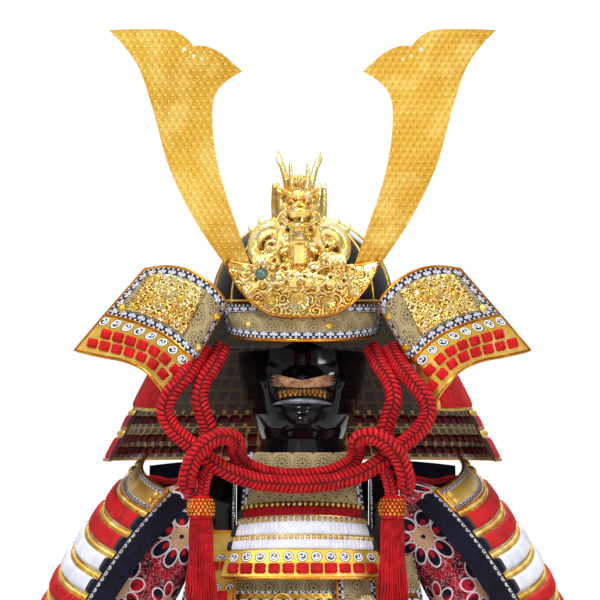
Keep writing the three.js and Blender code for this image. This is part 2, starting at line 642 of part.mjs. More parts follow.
function makeShoulderGuard(name, side) {
  add(`${name}_top_plate`, wall({ point: guardTopSheet(side), ...guardGrid, side: -side }), stencilledLeather);
  guardSilks.forEach((material, i) => {
    const sheet = guardSheet(side, guardEdges[i], guardEdges[i + 1]);
    add(`${name}_lame_${i + 1}`, wall({ point: sheet, ...guardGrid, ...lacing(1, 1.4), side: -side }), material);
  });
}

// Sleeves: brocade tubes over hanging arms. A row is a ring, with its middle and its half sizes.
const sleeveRings = [
  { out: 107.2, y: 8, z: -47, deep: 50, half: 50, lean: 78 },
  { out: 150, y: 6, z: -58, deep: 56, half: 50, lean: 62 },
  { out: 177, y: 2, z: -88, deep: 52, half: 47, lean: 40 },
  { out: 198, y: -4, z: -140, deep: 48, half: 43, lean: 20 },
  { out: 217, y: -10, z: -210, deep: 46, half: 41, lean: 14 },
  { out: 231, y: -16, z: -290, deep: 43, half: 39, lean: 9 },
  { out: 239, y: -27, z: -370, deep: 40, half: 37, lean: 5 },
  { out: 243, y: -42, z: -450, deep: 36, half: 33, lean: 2 },
  { out: 245, y: -58, z: -530, deep: 31, half: 27, lean: 0 },
];
const sleeveThick = 2;

function sleeveRing(v) {
  const place = v * (sleeveRings.length - 1);
  const i = Math.min(sleeveRings.length - 2, Math.floor(place));
  const [upper, lower] = [sleeveRings[i], sleeveRings[i + 1]];
  const ring = {};
  for (const key of Object.keys(upper)) ring[key] = lerp(upper[key], lower[key], place - i);
  return ring;
}

function sleeveWall(side, grown = 0) {
  const point = (u, v) => {
    const { out, y, z, deep, half, lean } = sleeveRing(v);
    const turn = 2 * Math.PI * u;
    const across = half * Math.cos(turn);
    const x = out + across * Math.cos(radians(lean));
    return at(side * x, y + deep * Math.sin(turn), z + across * Math.sin(radians(lean)));
  };
  const grid = { us: stops(12).slice(0, -1), vs: stops(8), backVs: stops(8), ring: true };
  return wall({ point, ...grid, inner: -sleeveThick - grown, outer: grown, side });
}

// Skirts: four hanging panels of laced plates, below the cuirass at the front, the sides and the back
const skirts = [
  { name: "skirt_front", middle: 0 },
  { name: "skirt_left", middle: 90 },
  { name: "skirt_back", middle: 180 },
  { name: "skirt_right", middle: 270 },
];

function makeSkirts() {
  const waist = across(chestBands, skirt.top);
  for (const { name, middle } of skirts) {
    const point = (u, v) => {
      const turn = radians(middle + lerp(-skirt.spread, skirt.spread, u));
      const out = lerp(waist.out, skirt.halfWidth, v);
      const front = lerp(waist.front, skirt.halfDepth, v);
      return at(out * Math.sin(turn), chest.centreY - front * Math.cos(turn), lerp(skirt.top, skirt.bottom, v));
    };
    add(name, wall({ point, us: stops(6), ...lacing(skirt.lames), side: -1 }), redSilk);
  }
}

// Chin cords: two strands, each from inside the helmet through the knots and across the breast. Rows are half of
// the route, from the helmet to the middle, as distance out from the middle of the cords, y and z.
const lowerCord = [
  [101, -84, 160], [108, -106, 142], [127, -130, 122], [149, -136, 103], [157, -136, 84], [150, -138, 66],
  [134, -142, 50], [117, -147, 37], [100, -149, 23], [76, -148, 9], [48, -142.5, 0], [22, -140.8, -3], [0, -140.4, -4],
];
const upperCord = [
  [78, -74, 160], [84, -96, 139], [100, -112, 118], [113, -120, 97], [110, -121, 76], [105, -122, 57],
  [114, -124, 39], [126, -125, 21], [131, -134, 3], [130, -151, -4], [129, -166, 10], [120, -171, 31],
  [105, -171, 47], [87, -165, 54], [73, -152, 49], [72, -137, 37], [66, -127, 23], [45, -122.5, 11],
  [20, -121.3, 6], [0, -120.8, 5],
];

function cordRoute(half) {
  const whole = [...half.map(([out, y, z]) => at(cordCentre - out, y, z))];
  for (const [out, y, z] of half.slice(0, -1).reverse()) whole.push(at(cordCentre + out, y, z));
  return whole;
}

const chinCord = (half, steps, grown = 0) => tube(cordRoute(half), cordDiameter / 2 + grown, 8, steps);

function makeCords() {
  add("chin_cord_lower", chinCord(lowerCord, 28), redSilk);
  add("chin_cord_upper", chinCord(upperCord, 42), redSilk);
}

// Tassels: a cord and a bound head with strands that hang from it
const tassel = { cord: 7.5, head: 15, top: 16, headZ: -31, strandTop: -38, strandEnd: -182, strand: 2 };
const tasselRings = [
  { count: 16, top: 12.2, end: 20 },
  { count: 9, top: 8, end: 13.5 },
  { count: 4, top: 3.8, end: 7 },
];

function makeTassel(name, side) {
  const middle = at(cordCentre + side * 114, -150, tassel.headZ);
  const start = at(cordCentre + side * 104, -148, tassel.top);
  const bend = at(cordCentre + side * 110, -150, -2);
  const parts = [tube([start, bend, middle], tassel.cord, 6, 3)];
  parts.push(new THREE.SphereGeometry(tassel.head, 10, 6).rotateX(Math.PI / 2).translate(middle.x, middle.y, middle.z));
  tasselRings.forEach(({ count, top, end }, ring) => {
    for (let i = 0; i < count; i++) {
      const turn = (2 * Math.PI * (i + 0.5 * ring)) / count;
      const drop = tassel.strandEnd + 5 * Math.sin(2.3 * i + ring);
      const along = at((end - top) * Math.cos(turn), (end - top) * Math.sin(turn), drop - tassel.strandTop);
      const strand = new THREE.CylinderGeometry(tassel.strand, tassel.strand, along.length(), 3);
      strand.translate(0, along.length() / 2, 0);
      strand.applyQuaternion(new THREE.Quaternion().setFromUnitVectors(at(0, 1, 0), along.clone().normalize()));
      const foot = at(middle.x + top * Math.cos(turn), middle.y + top * Math.sin(turn), tassel.strandTop);
      parts.push(strand.translate(foot.x, foot.y, foot.z));
    }
  });
  add(name, joined(parts, 0.3, [chinCord(lowerCord, 28, seam), chinCord(upperCord, 42, seam)]), redSilk);
}

// Short cords that tie each shoulder guard to its strap
const tieRadius = 4;
const tieLine = [[106, 18, 8], [120, 16, 8], [136, 13, 1.4], [160, 12, -2], [178, 12, 2], [191, 12, 1]];

function makeTie(name, side) {
  const line = tube(tieLine.map(([out, y, z]) => at(side * out, y, z)), tieRadius, 6, 6);
  const onStrap = strapWall(side, seam);
  const onGuard = wall({ point: guardTopSheet(side), ...guardGrid, inner: -plate - seam, outer: seam, side: -side });
  add(name, joined([line], 0.1, [onStrap, onGuard, sleeveWall(side, seam)]), redSilk);
}

makeBowl();
makeVisorAndBracket();
makeDragon();
makeNeckGuard();
makeWingPlaques();
makeMask();
makeBib();
makeCuirass();
makeChestGuards();
makeSkirts();
makeCords();
for (const [hand, side] of [["left", 1], ["right", -1]]) {
  makeHorn(`horn_${hand}`, side);
  add(`shoulder_strap_${hand}`, strapWall(side), blackLacquer);
  makeShoulderGuard(`shoulder_guard_${hand}`, side);
  add(`sleeve_${hand}`, sleeveWall(side), brocade);
  makeTassel(`tassel_${hand}`, side);
  makeTie(`guard_tie_${hand}`, side);
}

export default armour;
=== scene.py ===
# Looks of a laced samurai armour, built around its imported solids; sizes are in millimetres until a mesh is made
import math

import bpy
import numpy as np
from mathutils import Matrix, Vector
from mathutils.geometry import delaunay_2d_cdt


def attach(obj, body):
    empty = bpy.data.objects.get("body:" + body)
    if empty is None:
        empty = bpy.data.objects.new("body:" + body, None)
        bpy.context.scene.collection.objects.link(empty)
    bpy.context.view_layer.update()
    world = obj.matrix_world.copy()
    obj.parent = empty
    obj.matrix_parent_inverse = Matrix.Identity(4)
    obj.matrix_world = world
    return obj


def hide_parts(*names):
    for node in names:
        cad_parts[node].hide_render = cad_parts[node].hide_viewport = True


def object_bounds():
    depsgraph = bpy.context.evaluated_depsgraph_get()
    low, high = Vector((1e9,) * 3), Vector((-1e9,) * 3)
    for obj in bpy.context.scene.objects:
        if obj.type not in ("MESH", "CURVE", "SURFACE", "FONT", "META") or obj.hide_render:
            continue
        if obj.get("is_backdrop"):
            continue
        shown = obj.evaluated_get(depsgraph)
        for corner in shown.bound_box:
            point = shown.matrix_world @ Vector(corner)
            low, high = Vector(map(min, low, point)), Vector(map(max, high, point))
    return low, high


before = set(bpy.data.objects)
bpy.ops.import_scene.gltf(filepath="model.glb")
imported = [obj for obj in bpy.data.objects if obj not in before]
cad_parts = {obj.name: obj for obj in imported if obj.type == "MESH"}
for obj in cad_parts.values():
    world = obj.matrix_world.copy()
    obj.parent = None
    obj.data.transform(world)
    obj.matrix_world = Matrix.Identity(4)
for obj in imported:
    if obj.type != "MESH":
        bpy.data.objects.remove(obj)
cadBox = [list(corner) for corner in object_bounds()]
mm = 0.001
print("frame loaded")

# camera
view = {"place": (-0.003, -20, 0.216), "lens": 1000, "sensor": 36}
cameraData = bpy.data.cameras.new("camera")
cameraData.lens, cameraData.sensor_width = view["lens"], view["sensor"]
camera = bpy.data.objects.new("camera", cameraData)
camera.location = view["place"]
camera.rotation_euler = (math.pi / 2, 0, 0)
bpy.context.scene.collection.objects.link(camera)
bpy.context.scene.camera = camera
bpy.context.scene.view_settings.view_transform = "Standard"


# lines, sheets and shells as arrays
def lerp(a, b, share):
    return a + (b - a) * share


def unit(vectors):
    return vectors / np.maximum(np.linalg.norm(vectors, axis=-1, keepdims=True), 1e-9)


def stack(x, y, z):
    return np.stack(np.broadcast_arrays(x, y, z), -1).astype(float)


def smoothLine(points):
    points = np.asarray(points, float)
    count = len(points)
    padded = np.vstack([2 * points[0] - points[1], points, 2 * points[-1] - points[-2]])

    def place(t):
        along = np.clip(np.asarray(t, float), 0, 1) * (count - 1)
        i = np.minimum(along.astype(int), count - 2)
        w = (along - i)[..., None]
        p = [padded[i + k] for k in range(4)]
        d = [np.maximum(np.linalg.norm(p[k + 1] - p[k], axis=-1, keepdims=True) ** 0.5, 1e-4) for k in range(3)]
        a = ((p[1] - p[0]) / d[0] - (p[2] - p[0]) / (d[0] + d[1]) + (p[2] - p[1]) / d[1]) * d[1]
        b = ((p[2] - p[1]) / d[1] - (p[3] - p[1]) / (d[1] + d[2]) + (p[3] - p[2]) / d[2]) * d[1]
        return p[1] + a * w + (-3 * p[1] + 3 * p[2] - 2 * a - b) * w**2 + (2 * p[1] - 2 * p[2] + a + b) * w**3

    return place


def evenly(place, step):  # points of a line at even steps along it
    points = place(np.linspace(0, 1, 800))
    run = np.concatenate([[0], np.cumsum(np.linalg.norm(np.diff(points, axis=0), axis=1))])
    stations = np.linspace(0, run[-1], max(2, int(round(run[-1] / step)) + 1))
    return np.stack([np.interp(stations, run, points[:, k]) for k in range(3)], 1), stations


def normalOf(sheet, u, v, side, ring=False):
    e = 1e-3
    lo, hi = (-9, 9) if ring else (0, 1)
    along = sheet(np.clip(u + e, lo, hi), v) - sheet(np.clip(u - e, lo, hi), v)
    down = sheet(u, np.clip(v + e, 0, 1)) - sheet(u, np.clip(v - e, 0, 1))
    return unit(np.cross(along, down)) * side


def fixWinding(points, faces):  # turns a closed shell's faces outward
    a = points[faces[:, 0]]
    volume = 0
    for k in range(1, faces.shape[1] - 1):
        volume += (a * np.cross(points[faces[:, k]], points[faces[:, k + 1]])).sum()
    return volume < 0


class Part:  # points, faces of three or four corners, a place in mm for each face corner, and a material's name per face
    def __init__(self, points, faces, uv, paint):
        self.points, self.faces, self.uv = np.asarray(points, float), np.asarray(faces, int), np.asarray(uv, float)
        self.paint = [paint] * len(faces) if isinstance(paint, str) else list(paint)
        if fixWinding(self.points, self.faces):
            order = [0, 3, 2, 1]
            flat = self.faces[:, 2] == self.faces[:, 3]
            self.faces[~flat], self.uv[~flat] = self.faces[~flat][:, order], self.uv[~flat][:, order]
            order = [1, 0, 2, 3]
            self.faces[flat], self.uv[flat] = self.faces[flat][:, order], self.uv[flat][:, order]


def runOf(points):
    return np.concatenate([[0], np.cumsum(np.linalg.norm(np.diff(points, axis=0), axis=1))])


def shell(sheet, us, vs, outer=0, inner=-2.5, side=1, ring=False, paint="gold", back=None, edge=None, thinBack=False):  # a closed wall on a sheet; outer may be a function of (mm along, mm down, u, v) and paint of the same
    us, vs = np.asarray(us, float), np.asarray(vs, float)
    wide = us if not ring else us[:-1]
    U, V = np.meshgrid(wide, vs, indexing="ij")
    base = sheet(U, V)
    normals = normalOf(sheet, U, V, side, ring)
    middle = sheet(us, np.full(len(us), vs[len(vs) // 2]))
    run = runOf(middle)
    run = run - run[-1] / 2
    drop = runOf(base[len(wide) // 2])
    S, T = np.meshgrid(run, drop, indexing="ij")
    rise = outer(S[: len(wide)], T[: len(wide)], U, V) if callable(outer) else outer
    front = base + normals * (np.zeros(U.shape) + rise)[..., None]
    rear = base + normals * inner
    rows, cols = len(vs), len(wide)
    number = np.arange(cols * rows).reshape(cols, rows)
    spans = cols if ring else cols - 1
    i, j = np.meshgrid(np.arange(spans), np.arange(rows - 1), indexing="ij")
    i, j = i.ravel(), j.ravel()
    n = (i + 1) % cols
    quads = np.stack([number[i, j], number[n, j], number[n, j + 1], number[i, j + 1]], 1)
    uv = np.stack([np.stack([run[a], drop[b]], -1) for a, b in ((i, j), (i + 1, j), (i + 1, j + 1), (i, j + 1))], 1)
    size = cols * rows
    faces, places = [quads, quads[:, ::-1] + size], [uv, uv[:, ::-1]]
    names = list(paint(uv.mean(1)[:, 0], uv.mean(1)[:, 1], (us[i] + us[i + 1]) / 2, (vs[j] + vs[j + 1]) / 2)) if callable(paint) else [paint] * len(quads)
    backPaint = back or (paint if isinstance(paint, str) else "gold")
    k = np.arange(spans)
    m = (k + 1) % cols
    if thinBack:  # the back has only its first and last row
        rear = rear[:, [0, -1]]
        faces[1] = np.stack([2 * k + 1, 2 * m + 1, 2 * m, 2 * k], 1) + size
        places[1] = np.stack([np.stack([run[a], drop[b] + 0 * run[a]], -1) for a, b in ((k, -1), (k + 1, -1), (k + 1, 0), (k, 0))], 1)
        names += [backPaint] * len(k)
        rim = [np.stack([number[m, 0], number[k, 0], 2 * k + size, 2 * m + size], 1)]
        rim.append(np.stack([number[k, -1], number[m, -1], 2 * m + 1 + size, 2 * k + 1 + size], 1))
        r = np.arange(rows - 1)
        for c, turned in ((0, False), (cols - 1, True)):
            if not ring:
                fan = np.stack([number[c, r], number[c, r + 1], np.full(rows - 1, 2 * c + 1 + size), np.full(rows - 1, 2 * c + 1 + size)], 1)
                last = np.array([[number[c, 0], 2 * c + 1 + size, 2 * c + size, 2 * c + size]])
                fan = np.concatenate([fan, last])
                rim.append(fan[:, [1, 0, 2, 3]] if turned else fan)
        rim = np.concatenate(rim)
        faces.append(rim)
        places.append(np.zeros((len(rim), 4, 2)))
        names += [edge or backPaint] * len(rim)
        return Part(np.concatenate([front.reshape(-1, 3), rear.reshape(-1, 3)]), np.concatenate(faces), np.concatenate(places), names)
    names += [backPaint] * len(quads)
    rim = []
    rim.append(np.stack([number[m, 0], number[k, 0], number[k, 0] + size, number[m, 0] + size], 1))
    rim.append(np.stack([number[k, -1], number[m, -1], number[m, -1] + size, number[k, -1] + size], 1))
    if not ring:
        k = np.arange(rows - 1)
        rim.append(np.stack([number[0, k], number[0, k + 1], number[0, k + 1] + size, number[0, k] + size], 1))
        rim.append(np.stack([number[-1, k + 1], number[-1, k], number[-1, k] + size, number[-1, k + 1] + size], 1))
    rim = np.concatenate(rim)
    faces.append(rim)
    places.append(np.zeros((len(rim), 4, 2)))
    names += [edge or names[-1]] * len(rim)
    return Part(np.concatenate([front.reshape(-1, 3), rear.reshape(-1, 3)]), np.concatenate(faces), np.concatenate(places), names)


def framesAlong(points):  # sideways directions carried along a line without twist
    tangents = unit(np.gradient(points, axis=0))
    sides = np.zeros_like(points)
    start = np.array([0.0, 0, 1]) if abs(tangents[0][2]) < 0.9 else np.array([1.0, 0, 0])
    side = np.cross(tangents[0], start)
    for k, tangent in enumerate(tangents):
        side = side - tangent * side.dot(tangent)
        side /= np.linalg.norm(side)
        sides[k] = side
    return tangents, sides, np.cross(tangents, sides)


def tube(points, radius, sides=8, paint="gold", rise=None, closed=False):  # a capped tube; radius is a number or one for each point, and rise adds to it by (mm along, angle)
    points = np.asarray(points, float)
    _, across, over = framesAlong(points)
    run = runOf(points)
    turn = np.arange(sides) * 2 * math.pi / sides
    radii = np.broadcast_to(np.asarray(radius, float), (len(points),))[:, None] * np.ones((1, sides))
    if rise is not None:
        radii = radii + rise(run[:, None], turn[None, :])
    rings = points[:, None] + radii[..., None] * (across[:, None] * np.cos(turn)[None, :, None] + over[:, None] * np.sin(turn)[None, :, None])
    count = len(points)
    number = np.arange(count * sides).reshape(count, sides)
    i, j = np.meshgrid(np.arange(count - 1), np.arange(sides), indexing="ij")
    i, j = i.ravel(), j.ravel()
    n = (j + 1) % sides
    faces = np.stack([number[i, j], number[i, n], number[i + 1, n], number[i + 1, j]], 1)
    step = 2 * math.pi / sides * float(np.mean(radii))
    uv = np.stack([np.stack([run[a], b * step], -1) for a, b in ((i, j), (i, j + 1), (i + 1, j + 1), (i + 1, j))], 1)
    ends = np.stack([points[0], points[-1]])
    caps = []
    for k in range(sides):
        caps.append([number[0, (k + 1) % sides], number[0, k], count * sides, count * sides])
        caps.append([number[-1, k], number[-1, (k + 1) % sides], count * sides + 1, count * sides + 1])
    faces = np.concatenate([faces, caps])
    uv = np.concatenate([uv, np.zeros((len(caps), 4, 2))])
    return Part(np.concatenate([rings.reshape(-1, 3), ends]), faces, uv, paint)


def ball(centre, radii, paint, rings=12, turns=18):
    lat = np.linspace(-math.pi / 2, math.pi / 2, rings)
    line = np.stack([np.zeros(rings), np.zeros(rings), np.sin(lat)], 1)
    part = tube(line * 1.0, np.maximum(np.cos(lat), 1e-3), turns, paint)
    part.points = part.points * np.asarray(radii) + np.asarray(centre)
    return part


materials = {}


def piece(name, parts, slotName, *replaced, smoothAngle=42):  # one object of all its parts, in place of the solids that it stands for
    points = np.concatenate([p.points for p in parts]) * mm
    faces, uvs, names, start = [], [], [], 0
    for p in parts:
        for row, uv, paint in zip((p.faces + start).tolist(), p.uv, p.paint):
            if len(row) == 4 and row[2] == row[3]:
                row, uv = row[:3], uv[:3]
            faces.append(row)
            uvs.append(uv)
            names.append(paint)
        start += len(p.points)
    used = sorted(set(names))
    mesh = bpy.data.meshes.new(name)
    mesh.from_pydata(points.tolist(), [], faces)
    layer = mesh.uv_layers.new(name="place")
    layer.data.foreach_set("uv", np.concatenate(uvs).ravel())
    for paint in used:
        mesh.materials.append(materials[paint])
    mesh.polygons.foreach_set("material_index", [used.index(n) for n in names])
    mesh.polygons.foreach_set("use_smooth", [True] * len(faces))
    mesh.update()
    mesh.set_sharp_from_angle(angle=math.radians(smoothAngle))
    made = bpy.data.objects.new(name, mesh)
    bpy.context.scene.collection.objects.link(made)
    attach(made, "root")
    if replaced:
        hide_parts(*replaced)
    return made


def shadeCrevices(made, rounds, depth):  # an attribute from 0 on ridges to 1 in crevices of this depth in mm, which the cast gilt uses to paint shade into its crevices
    mesh = made.data
    count = len(mesh.vertices)
    points, normals = np.empty(count * 3), np.empty(count * 3)
    mesh.vertices.foreach_get("co", points)
    mesh.vertex_normals.foreach_get("vector", normals)
    pairs = np.empty(len(mesh.edges) * 2, int)
    mesh.edges.foreach_get("vertices", pairs)
    points, normals, pairs = points.reshape(-1, 3), normals.reshape(-1, 3), pairs.reshape(-1, 2)
    share = np.maximum(np.bincount(pairs.ravel(), minlength=count), 1)
    soft = points.copy()
    for _ in range(rounds):
        total = [np.bincount(pairs[:, 0], soft[pairs[:, 1], k], count) + np.bincount(pairs[:, 1], soft[pairs[:, 0], k], count) for k in range(3)]
        soft = np.stack(total, 1) / share[:, None]
    deep = ((soft - points) * normals).sum(1) / (depth * mm)
    mesh.attributes.new("crevice", "FLOAT", "POINT").data.foreach_set("value", np.clip(deep, 0, 1))


# node graphs
class Value:  # a socket that arithmetic can be written on
    def __init__(self, graph, socket):
        self.graph, self.socket = graph, socket

    def do(self, operation, *others):
        return self.graph.math(operation, self, *others)

    def __add__(self, other):
        return self.do("ADD", other)

    def __sub__(self, other):
        return self.do("SUBTRACT", other)

    def __mul__(self, other):
        return self.do("MULTIPLY", other)

    def __truediv__(self, other):
        return self.do("DIVIDE", other)

    __radd__, __rmul__ = __add__, __mul__

    def __rsub__(self, other):
        return self.graph.math("SUBTRACT", other, self)

    def sin(self):
        return self.do("SINE")

    def abs(self):
        return self.do("ABSOLUTE")

    def floor(self):
        return self.do("FLOOR")

    def power(self, other):
        return self.do("POWER", other)

    def below(self, limit, soft=0.0):  # 1 below the limit and 0 above it, with a soft edge
        if not soft:
            return self.do("LESS_THAN", limit)
        return self.graph.smooth(self, limit + soft, limit - soft)

    def cell(self, size):  # place in repeating cells, from -size / 2 to size / 2
        return ((self / size + 0.5).do("FRACT") - 0.5) * size

    def least(self, other):
        return self.do("MINIMUM", other)

    def most(self, other):
        return self.do("MAXIMUM", other)


class Graph:
    def __init__(self, tree):
        self.tree = tree

    def feed(self, socket, value):
        if isinstance(value, Value):
            value = value.socket
        if isinstance(value, bpy.types.NodeSocket):
            self.tree.links.new(value, socket)
        elif value is not None:
            socket.default_value = value

    def add(self, kind, inputs=None, **settings):
        node = self.tree.nodes.new(kind)
        for key, value in settings.items():
            setattr(node, key, value)
        for key, value in (inputs or {}).items():
            self.feed(node.inputs[key], value)
        return node

    def math(self, operation, *values):
        node = self.add("ShaderNodeMath", {i: v for i, v in enumerate(values)}, operation=operation)
        return Value(self, node.outputs[0])

    def smooth(self, value, low, high):
        node = self.add("ShaderNodeMapRange", {0: value, 1: low, 2: high, 3: 0.0, 4: 1.0}, interpolation_type="SMOOTHSTEP")
        return Value(self, node.outputs[0])

    def mix(self, share, a, b):
        node = self.add("ShaderNodeMix", {0: share, 6: a, 7: b}, data_type="RGBA")
        return node.outputs[2]

    def split(self, vector):
        node = self.add("ShaderNodeSeparateXYZ", {0: vector})
        return [Value(self, out) for out in node.outputs]

    def noise(self, vector, scale, detail=3.0):
        node = self.add("ShaderNodeTexNoise", {"Vector": vector, "Scale": scale, "Detail": detail})
        return Value(self, node.outputs["Fac"])

    def polar(self, x, y):
        return (x * x + y * y).do("SQRT"), y.do("ARCTAN2", x)


def rgb(text):  # a colour from its hexadecimal name, made linear
    parts = [int(text[i : i + 2], 16) / 255 for i in (0, 2, 4)]
    return [c / 12.92 if c <= 0.04045 else ((c + 0.055) / 1.055) ** 2.4 for c in parts] + [1]


def makeGroup(name, inputs, outputs, build):
    tree = bpy.data.node_groups.new(name, "ShaderNodeTree")
    kinds = {"f": "NodeSocketFloat", "c": "NodeSocketColor", "v": "NodeSocketVector"}
    for label, (kind, value) in inputs.items():
        socket = tree.interface.new_socket(label, in_out="INPUT", socket_type=kinds[kind])
        socket.default_value = value
    for label, kind in outputs.items():
        tree.interface.new_socket(label, in_out="OUTPUT", socket_type=kinds[kind])
    graph = Graph(tree)
    source = tree.nodes.new("NodeGroupInput")
    results = build(graph, {s.name: s for s in source.outputs if s.name})
    sink = tree.nodes.new("NodeGroupOutput")
    for label, value in results.items():
        graph.feed(sink.inputs[label], value)
    return tree


def value(graph, socket):
    return Value(graph, socket)


def buildWear(g, s):
    spots = g.noise(s["Vector"], s["Scale"], 4.0)
    broad = g.noise(s["Vector"], value(g, s["Scale"]) * 0.18, 2.0)
    mask = g.smooth(spots, 0.42, 0.7)
    shade = g.mix(g.smooth(broad, 0.3, 0.7), s["Dark"], s["Light"])
    return {"Color": g.mix(mask * 0.5, shade, s["Worn"]), "Mask": mask}


wear = makeGroup(
    "wearAndTone",
    {"Vector": ("v", (0, 0, 0)), "Scale": ("f", 60), "Dark": ("c", rgb("805010")), "Light": ("c", rgb("d0a030")), "Worn": ("c", rgb("e0c060"))},
    {"Color": "c", "Mask": "f"},
    buildWear,
)


def buildScales(g, s):
    x, y, _ = g.split(s["Vector"])
    pitch = value(g, s["Pitch"])
    total = None
    for turn in (90, 30, -30):
        a = math.radians(turn)
        wave = ((x * math.cos(a) + y * math.sin(a)) / pitch * (2 * math.pi * 1.1547)).do("COSINE")
        total = wave if total is None else total + wave
    return {"Height": g.smooth(total, -1.2, 2.2)}


scales = makeGroup("hexScales", {"Vector": ("v", (0, 0, 0)), "Pitch": ("f", 8)}, {"Height": "f"}, buildScales)


def buildStencil(g, s):
    x, y, _ = g.split(s["Vector"])
    size = value(g, s["Cell"])
    row = (y / size).floor()
    cx, cy = (x + row * size * 0.5).cell(size), (y - size * 0.5).cell(size)
    r, turn = g.polar(cx, cy)
    r = r / size
    petals = (turn * 12.0).do("COSINE").do("GREATER_THAN", -0.1) * r.below(0.3, 0.015) * (1 - r.below(0.13, 0.015))
    heart = r.below(0.07, 0.01)
    fern = (turn * 26.0).sin().do("GREATER_THAN", 0.1) * r.below(0.43, 0.01) * (1 - r.below(0.36, 0.01))
    ex, ey = (cx + size * 0.5).cell(size).abs(), (cy + size * 0.5).cell(size).abs()
    diamond = ((ex + ey) / size).below(0.1, 0.01)
    dots = (x.cell(3.1).abs() + y.cell(3.1).abs()).below(0.7, 0.2) * 0.35
    mask = petals.most(heart).most(fern).most(diamond).most(dots * (1 - r.below(0.33)))
    cloth = g.mix(g.noise(s["Vector"], 0.25, 3.0), s["Ground"], s["Ground light"])
    return {"Color": g.mix(mask * 0.85, cloth, s["Ink"]), "Mask": mask}


stencil = makeGroup(
    "stencilledLeather",
    {"Vector": ("v", (0, 0, 0)), "Cell": ("f", 26), "Ground": ("c", rgb("8d7a52")), "Ground light": ("c", rgb("b9a678")), "Ink": ("c", rgb("2c1d10"))},
    {"Color": "c", "Mask": "f"},
    buildStencil,
)


def buildTrees(g, s):  # white three-lobed trees on a dark band; Vector is (mm along, mm across)
    x, y, _ = g.split(s["Vector"])
    wide, pitch = value(g, s["Width"]), value(g, s["Pitch"])
    t = y / wide
    cx = (x / pitch + 0.5).do("FRACT") - 0.5
    stem = cx.abs().below(0.07, 0.02) * (t - 0.42).abs().below(0.3, 0.02)
    foot = g.polar(cx, (t - 0.14) * 0.8)[0].below(0.1, 0.02)
    crown = g.polar(cx, (t - 0.78) * 0.8)[0].below(0.13, 0.02)
    lobes = g.polar(cx.abs() - 0.24, (t - 0.6) * 0.8)[0].below(0.15, 0.02)
    between = g.polar(0.5 - cx.abs(), (t - 0.2) * 0.8)[0].below(0.12, 0.02)
    twist = (t - 0.95).abs().below(0.05, 0.01) * (x / pitch * 5.0 + t).do("FRACT").do("GREATER_THAN", 0.35)
    mask = stem.most(foot).most(crown).most(lobes).most(between).most(twist)
    thread = g.noise(s["Vector"], 1.4, 2.0)
    cloth = g.mix(mask, s["Dark"], g.mix(thread, s["Light"], rgb("9a9db4")))
    return {"Color": cloth, "Mask": mask}


trees = makeGroup(
    "treeBorder",
    {"Vector": ("v", (0, 0, 0)), "Width": ("f", 11), "Pitch": ("f", 14), "Dark": ("c", rgb("0d0f1c")), "Light": ("c", rgb("e9e9f2"))},
    {"Color": "c", "Mask": "f"},
    buildTrees,
)


def buildRoundels(g, s):  # the black and white woven edge of laced plates
    x, y, tilt = g.split(s["Vector"])
    pitch = value(g, s["Pitch"])
    cx, cy = (x / pitch + 0.5).do("FRACT") - 0.5, y / pitch
    r, turn = g.polar(cx, cy)
    ring = (r - 0.33).abs().below(0.055, 0.02)
    leaf = (turn * 2.0 + r * 17.0 + x * 0.6 + tilt).sin().do("GREATER_THAN", -0.1) * r.below(0.225, 0.02)
    mask = ring.most(leaf)
    return {"Color": g.mix(mask, s["Dark"], s["Light"]), "Mask": mask}


roundels = makeGroup(
    "roundelEdge",
    {"Vector": ("v", (0, 0, 0)), "Pitch": ("f", 8), "Dark": ("c", rgb("0c0d14")), "Light": ("c", rgb("eceef4"))},
    {"Color": "c", "Mask": "f"},
    buildRoundels,
)


def buildFlowers(g, s):  # staggered eight-petalled flowers, navy or red petals with pale outlines
    x, y, _ = g.split(s["Vector"])
    size = value(g, s["Cell"])
    row = (y / size).floor()
    odd = (row * 0.5).do("FRACT") * 2.0
    cx, cy = (x + row * size * 0.5).cell(size), (y - size * 0.5).cell(size)
    r, turn = g.polar(cx, cy)
    r = r / size
    folded = ((turn / (2 * math.pi) * 8.0).do("FRACT") - 0.5) * (2 * math.pi / 8)
    px, py = r * folded.do("COSINE") - 0.3, r * folded.sin()
    petal = ((px / 0.145) * (px / 0.145) + (py / 0.104) * (py / 0.104)).do("SQRT")
    inPetal = petal.below(0.84, 0.05)
    outline = petal.below(1.05, 0.05) * (1 - inPetal)
    heart = (((px + 0.065) / 0.055) * ((px + 0.065) / 0.055) + (py / 0.036) * (py / 0.036)).below(1.0, 0.15)
    centre = r.below(0.165 + 0.0, 0.01)
    dot = r.below(0.035, 0.008)
    wild = g.noise(s["Vector"], 0.09, 4.0)
    cream, navy, red, pink = rgb("d9ae88"), rgb("0e1028"), rgb("cc1426"), rgb("e8aebc")
    # the ground's dark red patches, set at random, stand in for shade in the cloth's folds and are painted shade; the
    # bright red is the cloth's own
    ground = g.mix(g.smooth(wild, 0.4, 0.6), rgb("4a0814"), rgb("b8142c"))
    vein = (g.noise(s["Vector"], 0.22, 1.0) - 0.5).abs().below(0.018, 0.008)
    ground = g.mix(vein * 0.8, ground, pink)
    petals = g.mix(odd * (turn * 4.0 + 0.8).sin().do("GREATER_THAN", -0.2), navy, rgb("c4152c"))
    hearts = g.mix(odd, red, rgb("7c0d1d"))
    color = g.mix(outline, g.mix(inPetal, ground, g.mix(heart, petals, hearts)), rgb("f4e4ea"))
    color = g.mix(centre, color, cream)
    color = g.mix(dot, color, navy)
    return {"Color": color, "Mask": outline.most(centre)}


flowers = makeGroup("flowerBrocade", {"Vector": ("v", (0, 0, 0)), "Cell": ("f", 60)}, {"Color": "c", "Mask": "f"}, buildFlowers)


def buildWeave(g, s):
    x, y, _ = g.split(s["Vector"])
    pitch = value(g, s["Pitch"])
    a = (x / pitch * 2 * math.pi).sin().abs()
    b = (y / pitch * 2 * math.pi).sin().abs()
    return {"Height": a * b}


